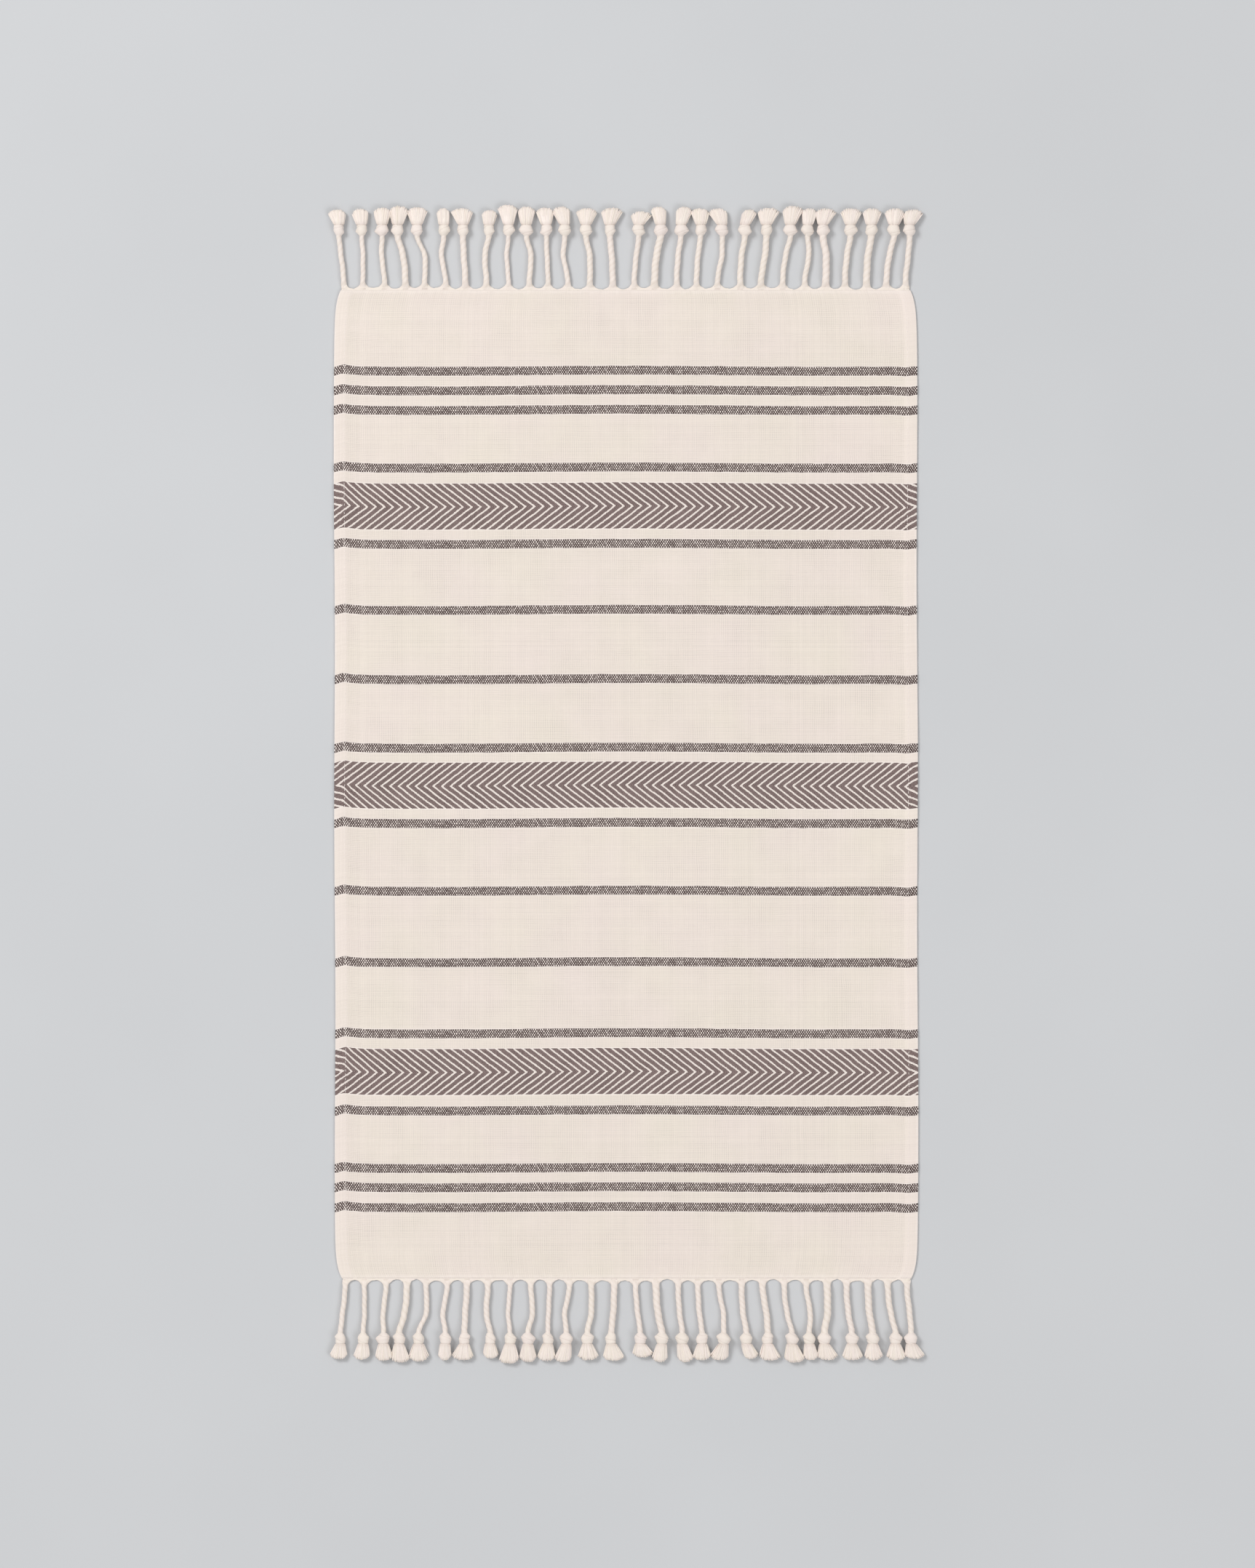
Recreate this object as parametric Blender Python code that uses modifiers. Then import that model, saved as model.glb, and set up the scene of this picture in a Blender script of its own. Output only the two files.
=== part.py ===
"""A woven cotton hammam towel that lies flat, with a knotted fringe at each end.

The towel lies on its underside, with its length along Y and its width along X, and the origin is on the
surface it rests on, under its middle. It is three solids. The cloth is one sheet of even field between two
turned and stitched side hems, so it is twice as thick along its long edges. Each fringe is one comb: a woven
heading along the end of the cloth, and 28 cords twisted from the warp ends, each with an overhand knot and a
cut brush. Model run: blender --background --python part.py
"""

import math

import bmesh
import bpy
from mathutils import Matrix, Vector

MM = 0.001

# The cloth
CLOTH_WIDTH = 0.5000
CLOTH_LENGTH = 0.8490
FIELD_THICK = 0.0012
HEM_THICK = 0.0024
FOLD_THICK = 0.0015
LEFT_HEM = 0.0095
RIGHT_HEM = 0.0072
STEP_WIDTH = 0.0014
FIELD_BAYS = 12
LENGTH_BAYS = 30
END_STATIONS = (0.0, 0.0035, 0.0080, 0.0150)
SKEW = 0.0006
WAVER = 0.0004
WAVER_LENGTH = 0.310
CORNER_DRAW = 0.0052
CORNER_REACH = 0.0125
FIELD_SWELL = 0.00012
SWELL_ACROSS = 0.140
SWELL_ALONG = 0.190

# The fringe
GAP = 0.0003
HEADING_DEPTH = 0.0028
HEADING_THICK = 0.0016
HEADING_OVERHANG = 0.0042
FOOT_SHIFT = 0.00125
ROOT_WIDTH = 0.0095
ROOT_THICK = 0.0012
ROOT_LIFT = 0.0002
KNOT_FLATNESS = 0.80
SIDES_OF_SECTION = 6
FLAT_SHARE = 0.30

# Each tassel of the head end, from left to right, in millimetres. root, mid and knot say how far the cord
# lies from the towel's centre line where it leaves the heading, halfway, and at its knot. girth and bulk are
# the widths of the cord and of its knot. left and right are how far the brush spreads from the knot to either
# side, and tip is how far the brush ends from the cloth. The foot end is the mirror image.
COLUMNS = ("root", "mid", "knot", "girth", "bulk", "left", "right", "tip")
TASSELS_MM = (
    (-242.5, -245.0, -246.5, 4.4, 9.0, 9.0, 5.5, 69.5),
    (-226.0, -226.0, -227.0, 4.1, 9.0, 8.0, 5.5, 70.0),
    (-207.5, -210.0, -209.5, 4.3, 11.0, 7.0, 6.5, 71.0),
    (-189.5, -192.0, -196.0, 5.4, 10.0, 6.0, 7.5, 72.5),
    (-173.0, -173.5, -179.5, 4.4, 10.0, 7.0, 8.5, 71.5),
    (-155.0, -158.5, -156.5, 4.4, 10.0, 5.5, 4.5, 70.5),
    (-138.0, -139.5, -140.0, 5.2, 9.5, 10.5, 8.0, 70.5),
    (-120.0, -121.0, -118.0, 4.8, 8.5, 5.5, 7.0, 69.0),
    (-101.0, -102.5, -101.0, 3.9, 9.5, 9.0, 7.5, 73.5),
    (-83.0, -82.0, -85.5, 4.6, 11.5, 7.0, 7.0, 72.0),
    (-67.0, -68.0, -68.5, 4.2, 9.5, 8.5, 5.0, 71.0),
    (-50.0, -54.0, -52.5, 4.4, 11.0, 9.5, 4.0, 72.0),
    (-31.0, -31.5, -34.5, 4.9, 10.5, 8.0, 9.5, 70.5),
    (-11.5, -12.5, -14.0, 5.3, 8.5, 7.0, 11.0, 71.0),
    (7.0, 9.0, 11.0, 4.5, 10.5, 6.5, 9.5, 68.0),
    (24.5, 26.5, 29.5, 6.0, 11.5, 7.0, 4.5, 72.0),
    (43.5, 45.0, 47.0, 4.7, 11.5, 3.5, 8.0, 72.0),
    (60.5, 62.0, 64.0, 4.6, 10.0, 7.5, 6.0, 70.5),
    (78.5, 82.5, 82.5, 4.4, 11.5, 10.5, 4.0, 70.5),
    (98.0, 99.5, 102.0, 5.0, 11.0, 2.0, 10.0, 69.5),
    (116.0, 119.5, 120.5, 5.4, 10.0, 7.0, 11.0, 71.0),
    (134.5, 137.5, 141.0, 4.6, 11.5, 6.0, 10.0, 72.5),
    (153.5, 157.0, 156.0, 4.5, 11.0, 3.5, 6.5, 70.5),
    (171.5, 171.5, 169.0, 6.1, 11.0, 5.0, 11.5, 70.5),
    (188.0, 190.0, 192.5, 5.1, 11.0, 8.0, 9.5, 70.5),
    (206.5, 208.0, 210.5, 5.9, 11.0, 7.0, 8.5, 70.5),
    (223.5, 226.5, 230.0, 5.1, 10.5, 7.5, 8.0, 70.5),
    (240.0, 242.5, 243.5, 4.9, 10.5, 4.0, 11.5, 69.5),
)

# How far each section of a tassel lies from the cloth, in millimetres
ROOT_AT = 1.0
FLARE_AT = 4.5
CORD_AT = 8.0
QUARTER_AT = 20.0
MID_AT = 32.0
BASE_AT = 45.5
SHOULDER_AT = 49.5
BELLY_AT = 54.5
NECK_AT = 58.5
FAN_AT = 66.0

CLOTH_COLOUR = (0.855, 0.753, 0.686, 1.0)
YARN_COLOUR = (0.870, 0.775, 0.708, 1.0)
COTTON_ROUGHNESS = 0.92


def clear_scene():
    """Removes every object that the scene starts with."""
    for old in list(bpy.data.objects):
        bpy.data.objects.remove(old, do_unlink=True)


def new_collection(name):
    """A collection of this name, linked to the scene."""
    made = bpy.data.collections.new(name)
    bpy.context.scene.collection.children.link(made)
    return made


def cotton(name, colour):
    """A matt, undyed cotton finish."""
    material = bpy.data.materials.new(name)
    material.use_nodes = True
    shader = material.node_tree.nodes["Principled BSDF"]
    shader.inputs["Base Color"].default_value = colour
    shader.inputs["Roughness"].default_value = COTTON_ROUGHNESS
    shader.inputs["Metallic"].default_value = 0.0
    material.diffuse_color = colour
    return material


def new_object(name, bm, collection, material=None):
    """An object that holds the bmesh, which is freed."""
    mesh = bpy.data.meshes.new(name)
    bm.to_mesh(mesh)
    bm.free()
    made = bpy.data.objects.new(name, mesh)
    collection.objects.link(made)
    if material is not None:
        mesh.materials.append(material)
    return made


def edge_at(y, side):
    """The x of the cloth's long edge, drawn in at the corners and a little off straight; side is -1 or 1."""
    from_end = CLOTH_LENGTH / 2 - abs(y)
    draw = CORNER_DRAW * math.exp(-from_end / CORNER_REACH)
    waver = WAVER * math.sin(2 * math.pi * y / WAVER_LENGTH + side)
    skew = -SKEW * y / (CLOTH_LENGTH / 2)
    return side * (CLOTH_WIDTH / 2 - draw) + waver + skew


def cloth_columns():
    """The stations across the cloth: (distance from the near edge, which edge, thickness), left to right."""
    left = (
        (0.0, -1, FOLD_THICK),
        (STEP_WIDTH, -1, HEM_THICK),
        (LEFT_HEM - STEP_WIDTH, -1, HEM_THICK),
        (LEFT_HEM, -1, FIELD_THICK),
    )
    right = (
        (RIGHT_HEM, 1, FIELD_THICK),
        (RIGHT_HEM - STEP_WIDTH, 1, HEM_THICK),
        (STEP_WIDTH, 1, HEM_THICK),
        (0.0, 1, FOLD_THICK),
    )
    bay = (CLOTH_WIDTH - LEFT_HEM - RIGHT_HEM) / FIELD_BAYS
    field = tuple((LEFT_HEM + bay * n, -1, FIELD_THICK) for n in range(1, FIELD_BAYS))
    return left + field + right


def cloth_rows():
    """The stations along the cloth, as y from foot to head, close together where the corners draw in."""
    bay = CLOTH_LENGTH / LENGTH_BAYS
    foot = [station - CLOTH_LENGTH / 2 for station in END_STATIONS]
    middle = [bay * n - CLOTH_LENGTH / 2 for n in range(1, LENGTH_BAYS)]
    head = [-y for y in reversed(foot)]
    return foot + middle + head


def build_cloth(collection):
    """The sheet: a flat grid on the surface, thickened upwards by a weight that doubles in the hems."""
    columns = cloth_columns()
    rows = cloth_rows()
    across = len(columns) - 1
    along = len(rows) - 1
    bm = bmesh.new()
    bmesh.ops.create_grid(bm, x_segments=across, y_segments=along, size=1.0)
    weights = bm.verts.layers.deform.verify()
    for vertex in bm.verts:
        inset, side, thick = columns[round((vertex.co.x + 1.0) / 2.0 * across)]
        y = rows[round((vertex.co.y + 1.0) / 2.0 * along)]
        x = edge_at(y, side) - side * inset
        swell = math.sin(x / SWELL_ACROSS) * math.cos(y / SWELL_ALONG + 3.0 * x)
        vertex.co = Vector((x, y, 0.0))
        vertex[weights][0] = (thick + FIELD_SWELL * swell) / (HEM_THICK + FIELD_SWELL)
    cloth = new_object("towel_cloth", bm, collection, cotton("cloth_cotton", CLOTH_COLOUR))
    cloth.vertex_groups.new(name="thickness")
    body = cloth.modifiers.new("body", "SOLIDIFY")
    body.thickness = HEM_THICK + FIELD_SWELL
    body.offset = 1.0
    body.vertex_group = "thickness"
    return cloth


def section(x, y, width, thick, lift=0.0):
    """A six-sided section of a cord across Y, flat above and below, that stands lift above the surface."""
    half = width / 2
    flat = width * FLAT_SHARE
    middle = lift + thick / 2
    top = lift + thick
    outline = (
        (half, middle),
        (flat, top),
        (-flat, top),
        (-half, middle),
        (-flat, lift),
        (flat, lift),
    )
    return [Vector((x + across, y, up)) for across, up in outline]


def tassel_sections(tassel):
    """The sections of one tassel, from inside the heading to the tip, as distances from the cloth."""
    root = tassel["root"] * MM
    mid = tassel["mid"] * MM
    knot = tassel["knot"] * MM
    girth = tassel["girth"] * MM
    bulk = tassel["bulk"] * MM
    left = tassel["left"] * MM
    right = tassel["right"] * MM
    spread = left + right
    fan = knot + (right - left) / 2
    base = mid + (knot - mid) * 0.75
    rows = (
        (root, ROOT_AT, ROOT_WIDTH, ROOT_THICK, ROOT_LIFT),
        (root, FLARE_AT, girth * 1.35, girth * 0.70, 0.0),
        (root, CORD_AT, girth, girth * 0.95, 0.0),
        (root + (mid - root) * 0.6, QUARTER_AT, girth, girth, 0.0),
        (mid, MID_AT, girth, girth, 0.0),
        (base, BASE_AT, girth * 1.1, girth, 0.0),
        (knot, SHOULDER_AT, bulk * 0.92, bulk * KNOT_FLATNESS, 0.0),
        (knot, BELLY_AT, bulk, bulk * KNOT_FLATNESS, 0.0),
        (knot + (fan - knot) * 0.2, NECK_AT, bulk * 0.86, bulk * 0.55, 0.0),
        (fan, FAN_AT, spread * 0.96, girth * 0.72, 0.0),
        (fan, tassel["tip"], spread * 0.86, girth * 0.42, 0.0),
    )
    return [section(x, at * MM, wide, thick, lift) for x, at, wide, thick, lift in rows]


def loft(bm, rings):
    """Skins a closed body over rings of equal count, with a flat face at each end."""
    made = [[bm.verts.new(point) for point in ring] for ring in rings]
    count = SIDES_OF_SECTION
    for near, far in zip(made, made[1:]):
        for n in range(count):
            bm.faces.new((near[n], near[(n + 1) % count], far[(n + 1) % count], far[n]))
    bm.faces.new(made[0])
    bm.faces.new(made[-1])


def placed_at_end(bm, end):
    """Moves a fringe, modelled outwards from y = 0, to its end of the cloth; end is 1 head, -1 foot."""
    shift = 0.0 if end > 0 else FOOT_SHIFT
    start = CLOTH_LENGTH / 2 + GAP
    for vertex in bm.verts:
        vertex.co = Vector((vertex.co.x + shift, end * (start + vertex.co.y), vertex.co.z))
    bmesh.ops.recalc_face_normals(bm, faces=bm.faces)


def heading_bmesh(tassels):
    """The woven strip that the cords grow from, from the first root to the last."""
    low = tassels[0]["root"] * MM - HEADING_OVERHANG
    high = tassels[-1]["root"] * MM + HEADING_OVERHANG
    bm = bmesh.new()
    size = Matrix.Diagonal((high - low, HEADING_DEPTH, HEADING_THICK, 1.0))
    place = Matrix.Translation(((high + low) / 2, HEADING_DEPTH / 2, HEADING_THICK / 2))
    bmesh.ops.create_cube(bm, size=1.0, matrix=place @ size)
    return bm


def build_fringe(name, end, collection, cutters):
    """One comb: the heading, with the row of tassels joined to it; end is 1 for the head, -1 for the foot."""
    tassels = [dict(zip(COLUMNS, row)) for row in TASSELS_MM]
    cords = bmesh.new()
    for tassel in tassels:
        loft(cords, tassel_sections(tassel))
    placed_at_end(cords, end)
    row = new_object(name + "_tassels", cords, cutters)
    row.hide_render = True
    row.display_type = "WIRE"
    heading = heading_bmesh(tassels)
    placed_at_end(heading, end)
    fringe = new_object(name, heading, collection, cotton(name + "_yarn", YARN_COLOUR))
    join = fringe.modifiers.new("join_tassels", "BOOLEAN")
    join.operation = "UNION"
    join.solver = "EXACT"
    join.object = row
    return fringe


def main():
    """Builds the towel."""
    clear_scene()
    towel = new_collection("hammam_towel")
    cutters = new_collection("cutters")
    cutters.hide_render = True
    build_cloth(towel)
    build_fringe("fringe_head", 1, towel, cutters)
    build_fringe("fringe_foot", -1, towel, cutters)


main()
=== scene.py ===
"""Looks of a flat-woven hammam towel with knotted tassels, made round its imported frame.

Lengths are metres. The towel lies flat: X runs across it, Y along it towards its head end, Z up.
"""

import logging
import math
from dataclasses import dataclass, field
from enum import Enum

import bpy
import numpy as np
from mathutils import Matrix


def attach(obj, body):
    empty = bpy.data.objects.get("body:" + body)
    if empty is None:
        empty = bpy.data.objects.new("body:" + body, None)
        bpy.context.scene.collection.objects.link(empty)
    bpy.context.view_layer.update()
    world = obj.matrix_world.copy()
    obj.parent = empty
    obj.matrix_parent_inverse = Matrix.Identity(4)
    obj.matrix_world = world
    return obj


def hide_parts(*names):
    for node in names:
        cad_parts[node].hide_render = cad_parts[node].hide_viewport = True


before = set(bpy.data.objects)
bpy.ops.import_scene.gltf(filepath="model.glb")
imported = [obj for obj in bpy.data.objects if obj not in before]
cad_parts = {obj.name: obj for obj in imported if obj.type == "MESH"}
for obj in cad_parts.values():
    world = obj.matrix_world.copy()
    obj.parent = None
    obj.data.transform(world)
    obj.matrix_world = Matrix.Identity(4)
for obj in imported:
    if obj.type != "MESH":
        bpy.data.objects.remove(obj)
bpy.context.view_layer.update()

LOG = logging.getLogger("hammam_towel")
MM = 0.001
BODY = "root"
TURN = 2 * math.pi


# ------------------------------------------------------------------ choices


class Weave(Enum):
    """The weave of one stretch of the cloth, and the material slot that it takes."""

    GROUND = 0
    BAR = 1
    BAND_RIGHT = 2
    BAND_LEFT = 3


class End(Enum):
    """One end of the towel: the way its fringe points along Y, and the fringe's sideways shift."""

    HEAD = (1.0, 0.0)
    FOOT = (-1.0, 1.25 * MM)


class Yarn(Enum):
    """The colours of the dyed yarns, of painted shade and of painted highlight, in even steps from 0 to
    255 for red, green and blue.
    """

    CREAM = (242, 229, 221)
    # The bleached yarn's colour, which also serves as the painted highlight on the folded long edges and
    # on the cords' ply crowns.
    BLEACHED = (250, 240, 234)
    ROSE = (241, 228, 221)
    STRAW = (240, 230, 217)
    # Painted shade, for the grooves, gaps and creases of the yarns and for the loose ends near the knot.
    SHADED = (206, 190, 181)
    CHARCOAL = (69, 53, 50)
    # Worn pale flecks in the charcoal, and in the chevron bands also the painted highlight on the
    # charcoal picks' crowns.
    WORN_CHARCOAL = (144, 126, 123)
    THREAD = (249, 241, 236)

    def linear(self) -> tuple[float, float, float, float]:
        """The colour as a shader takes it, by the usual display curve, with full opacity."""
        share = np.array(self.value) / 255
        low = share / 12.92
        high = ((share + 0.055) / 1.055) ** 2.4
        red, green, blue = np.where(share <= 0.04045, low, high)
        return (float(red), float(green), float(blue), 1.0)


# ------------------------------------------------------------------ meshes


@dataclass
class Skin:
    """A closed surface, or several, gathered as arrays before it becomes one piece."""

    points: np.ndarray
    faces: list[np.ndarray] = field(default_factory=list)
    maps: dict[str, list[np.ndarray]] = field(default_factory=dict)
    slots: list[np.ndarray] = field(default_factory=list)
    tone: np.ndarray | None = None

    def add(self, faces: np.ndarray, slot: np.ndarray | int = 0, **maps: np.ndarray) -> None:
        """Adds faces that all have the same number of corners.

        Args:
            faces: Point numbers, one row for each face.
            slot: The material slot of each face, or of them all.
            maps: For each UV map, the place of each corner, as an array (face, corner, 2).
        """
        self.faces.append(faces)
        self.slots.append(np.broadcast_to(slot, len(faces)).astype(np.int32))
        for name, places in maps.items():
            self.maps.setdefault(name, []).append(places)

    def volume(self) -> float:
        """The enclosed volume: a sixth of the sum of p0 . (p1 x p2) over each face's triangles."""
        total = 0.0
        for faces in self.faces:
            corners = self.points[faces]
            first = corners[:, :1]
            spokes = np.cross(corners[:, 1:-1], corners[:, 2:])
            total += float((first * spokes).sum())
        return total / 6

    def face_outwards(self) -> None:
        """Turns every face round if the surface is inside out."""
        if self.volume() >= 0:
            return
        self.faces = [faces[:, ::-1] for faces in self.faces]
        self.maps = {name: [m[:, ::-1] for m in places] for name, places in self.maps.items()}

    def piece(self, name: str, materials: list[bpy.types.Material]) -> bpy.types.Object:
        """Makes the mesh and its object, smooth shaded, at the origin.

        Args:
            name: The piece's name.
            materials: One material for each slot number in use.

        Returns:
            The new object, in the scene.
        """
        self.face_outwards()
        sizes = np.concatenate([np.full(len(f), f.shape[1]) for f in self.faces])
        corners = np.concatenate([f.ravel() for f in self.faces]).astype(np.int32)
        starts = np.concatenate([[0], np.cumsum(sizes)[:-1]]).astype(np.int32)
        mesh = bpy.data.meshes.new(name)
        mesh.vertices.add(len(self.points))
        mesh.vertices.foreach_set("co", self.points.astype(np.float32).ravel())
        mesh.loops.add(len(corners))
        mesh.loops.foreach_set("vertex_index", corners)
        mesh.polygons.add(len(sizes))
        mesh.polygons.foreach_set("loop_start", starts)
        mesh.polygons.foreach_set("material_index", np.concatenate(self.slots))
        for map_name, places in self.maps.items():
            layer = mesh.uv_layers.new(name=map_name)
            flat = np.concatenate([m.reshape(-1, 2) for m in places]).astype(np.float32)
            layer.data.foreach_set("uv", flat.ravel())
        if self.tone is not None:
            tones = mesh.attributes.new("tone", "FLOAT", "POINT")
            tones.data.foreach_set("value", self.tone.astype(np.float32).ravel())
        mesh.update(calc_edges=True)
        mesh.validate()
        mesh.shade_smooth()
        for material in materials:
            mesh.materials.append(material)
        made = bpy.data.objects.new(name, mesh)
        bpy.context.scene.collection.objects.link(made)
        return made


def ring_quads(rings: int, around: int) -> tuple[np.ndarray, np.ndarray]:
    """Quads of a tube's side, from each ring to the next and once round.

    Args:
        rings: The number of rings.
        around: The number of points in a ring.

    Returns:
        Point numbers in a grid (rings, around), and numbers in a grid (rings, around + 1) whose
        last column repeats the first, for a map that is cut open along the tube.
    """
    ring, step = np.meshgrid(np.arange(rings - 1), np.arange(around), indexing="ij")
    corners = [(ring, step), (ring + 1, step), (ring + 1, step + 1), (ring, step + 1)]
    points = np.stack([r * around + s % around for r, s in corners], axis=-1)
    places = np.stack([r * (around + 1) + s for r, s in corners], axis=-1)
    return points.reshape(-1, 4), places.reshape(-1, 4)


def tube_bundle(rings: np.ndarray, share: np.ndarray, run: np.ndarray, tone: np.ndarray) -> Skin:
    """Closed tubes that all have the same number of rings.

    Args:
        rings: The points, as an array (tube, ring, around, 3).
        share: The map's first number, as an array (tube, ring, around + 1).
        run: The map's second number, the length along the tube, of the same shape.
        tone: One number from 0 to 1 for each tube, which its material reads.

    Returns:
        The skin of all the tubes, with a UV map named strand, capped at both ends.
    """
    tubes, length, around = rings.shape[:3]
    side, places = ring_quads(length, around)
    skin = Skin(rings.reshape(-1, 3))
    first = (np.arange(tubes) * length * around)[:, None, None]
    first_place = (np.arange(tubes) * length * (around + 1))[:, None, None]
    strand = np.stack([share.ravel(), run.ravel()], axis=-1)
    skin.add(
        (side + first).reshape(-1, 4),
        strand=strand[(places + first_place).reshape(-1, 4)],
    )
    loop = np.arange(around)
    bottom = loop[::-1]
    top = loop + (length - 1) * around
    top_place = loop + (length - 1) * (around + 1)
    caps = np.stack([bottom, top]) + first
    cap_places = np.stack([bottom, top_place]) + first_place
    # The side's quads run ring first, so a cap that agrees with them is wound the other way.
    skin.add(
        caps.reshape(-1, around)[:, ::-1],
        strand=strand[cap_places.reshape(-1, around)[:, ::-1]],
    )
    skin.tone = np.repeat(tone, length * around)
    return skin


def unit_ring(around: int) -> np.ndarray:
    """Points evenly round a circle of radius 1 that stands upright across Y, as an array (around, 3)."""
    angle = TURN * np.arange(around) / around
    return np.stack([np.cos(angle), 0 * angle, np.sin(angle)], axis=-1)


def smooth_share(value: np.ndarray, low: float, high: float) -> np.ndarray:
    """An eased step from 0 at low to 1 at high: t t (3 - 2 t) of the clipped share."""
    share = np.clip((value - low) / (high - low), 0.0, 1.0)
    return share * share * (3 - 2 * share)


def eased_line(stations: np.ndarray, values: np.ndarray, at: np.ndarray) -> np.ndarray:
    """A smooth line through given values, by cubic pieces whose slopes are central differences.

    Args:
        stations: Where the values are given, rising.
        values: One row of values for each line, as an array (line, station).
        at: Where the lines are wanted.

    Returns:
        The lines' values there, as an array (line, at).
    """
    slopes = np.gradient(values, stations, axis=1)
    slopes[:, 0] = 0.0
    slopes[:, -1] = 0.0
    piece = np.clip(np.searchsorted(stations, at) - 1, 0, len(stations) - 2)
    span = np.diff(stations)[piece]
    t = np.clip((at - stations[piece]) / span, 0.0, 1.0)
    start, end = values[:, piece], values[:, piece + 1]
    leave, arrive = slopes[:, piece] * span, slopes[:, piece + 1] * span
    return (
        start * (1 + 2 * t) * (1 - t) ** 2
        + leave * t * (1 - t) ** 2
        + end * t * t * (3 - 2 * t)
        + arrive * t * t * (t - 1)
    )


# ------------------------------------------------------------------ material nodes


class Wire:
    """A value on its way through a material's nodes, which arithmetic carries on with more nodes."""

    def __init__(self, tree: bpy.types.NodeTree, socket: bpy.types.NodeSocket) -> None:
        """Holds a socket of the tree."""
        self.tree = tree
        self.socket = socket

    def through(self, operation: str, *others: "Wire | float") -> "Wire":
        """Sends the value through one Math node.

        Args:
            operation: The node's operation.
            others: Its further inputs, as wires or numbers.

        Returns:
            The node's result.
        """
        node = self.tree.nodes.new("ShaderNodeMath")
        node.operation = operation
        for slot, value in zip(node.inputs, (self, *others)):
            if isinstance(value, Wire):
                self.tree.links.new(value.socket, slot)
            else:
                slot.default_value = value
        return Wire(self.tree, node.outputs[0])

    def __add__(self, other: "Wire | float") -> "Wire":
        """The sum."""
        return self.through("ADD", other)

    def __radd__(self, other: float) -> "Wire":
        """The sum, with the number first."""
        return self.through("ADD", other)

    def __sub__(self, other: "Wire | float") -> "Wire":
        """The difference."""
        return self.through("SUBTRACT", other)

    def __rsub__(self, other: float) -> "Wire":
        """The difference from a number: other - value."""
        return self.through("MULTIPLY", -1.0) + other

    def __mul__(self, other: "Wire | float") -> "Wire":
        """The product."""
        return self.through("MULTIPLY", other)

    def __rmul__(self, other: float) -> "Wire":
        """The product, with the number first."""
        return self.through("MULTIPLY", other)

    def __truediv__(self, other: float) -> "Wire":
        """The quotient by a number."""
        return self.through("MULTIPLY", 1.0 / other)

    def floor(self) -> "Wire":
        """The whole number below."""
        return self.through("FLOOR")

    def part(self) -> "Wire":
        """What is left above the whole number below."""
        return self.through("FRACT")

    def size(self) -> "Wire":
        """The value without its sign."""
        return self.through("ABSOLUTE")

    def crown(self) -> "Wire":
        """A rounded ridge in each unit, 0 at its edges and 1 in the middle: |sin(pi value)|."""
        return (self * math.pi).through("SINE").size()

    def odd(self) -> "Wire":
        """0 on even units and 1 on odd ones, for a whole number."""
        return (self * 0.5).part() * 2.0

    def rise(self, low: float, high: float) -> "Wire":
        """An eased step.

        Args:
            low: The value at which the result is 0.
            high: The value at which it is 1, which may be the lower of the two.

        Returns:
            The step, from 0 to 1.
        """
        node = self.tree.nodes.new("ShaderNodeMapRange")
        node.interpolation_type = "SMOOTHSTEP"
        falling = high < low
        node.inputs["From Min"].default_value = min(low, high)
        node.inputs["From Max"].default_value = max(low, high)
        node.inputs["To Min"].default_value = 1.0 if falling else 0.0
        node.inputs["To Max"].default_value = 0.0 if falling else 1.0
        self.tree.links.new(self.socket, node.inputs["Value"])
        return Wire(self.tree, node.outputs["Result"])


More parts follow.
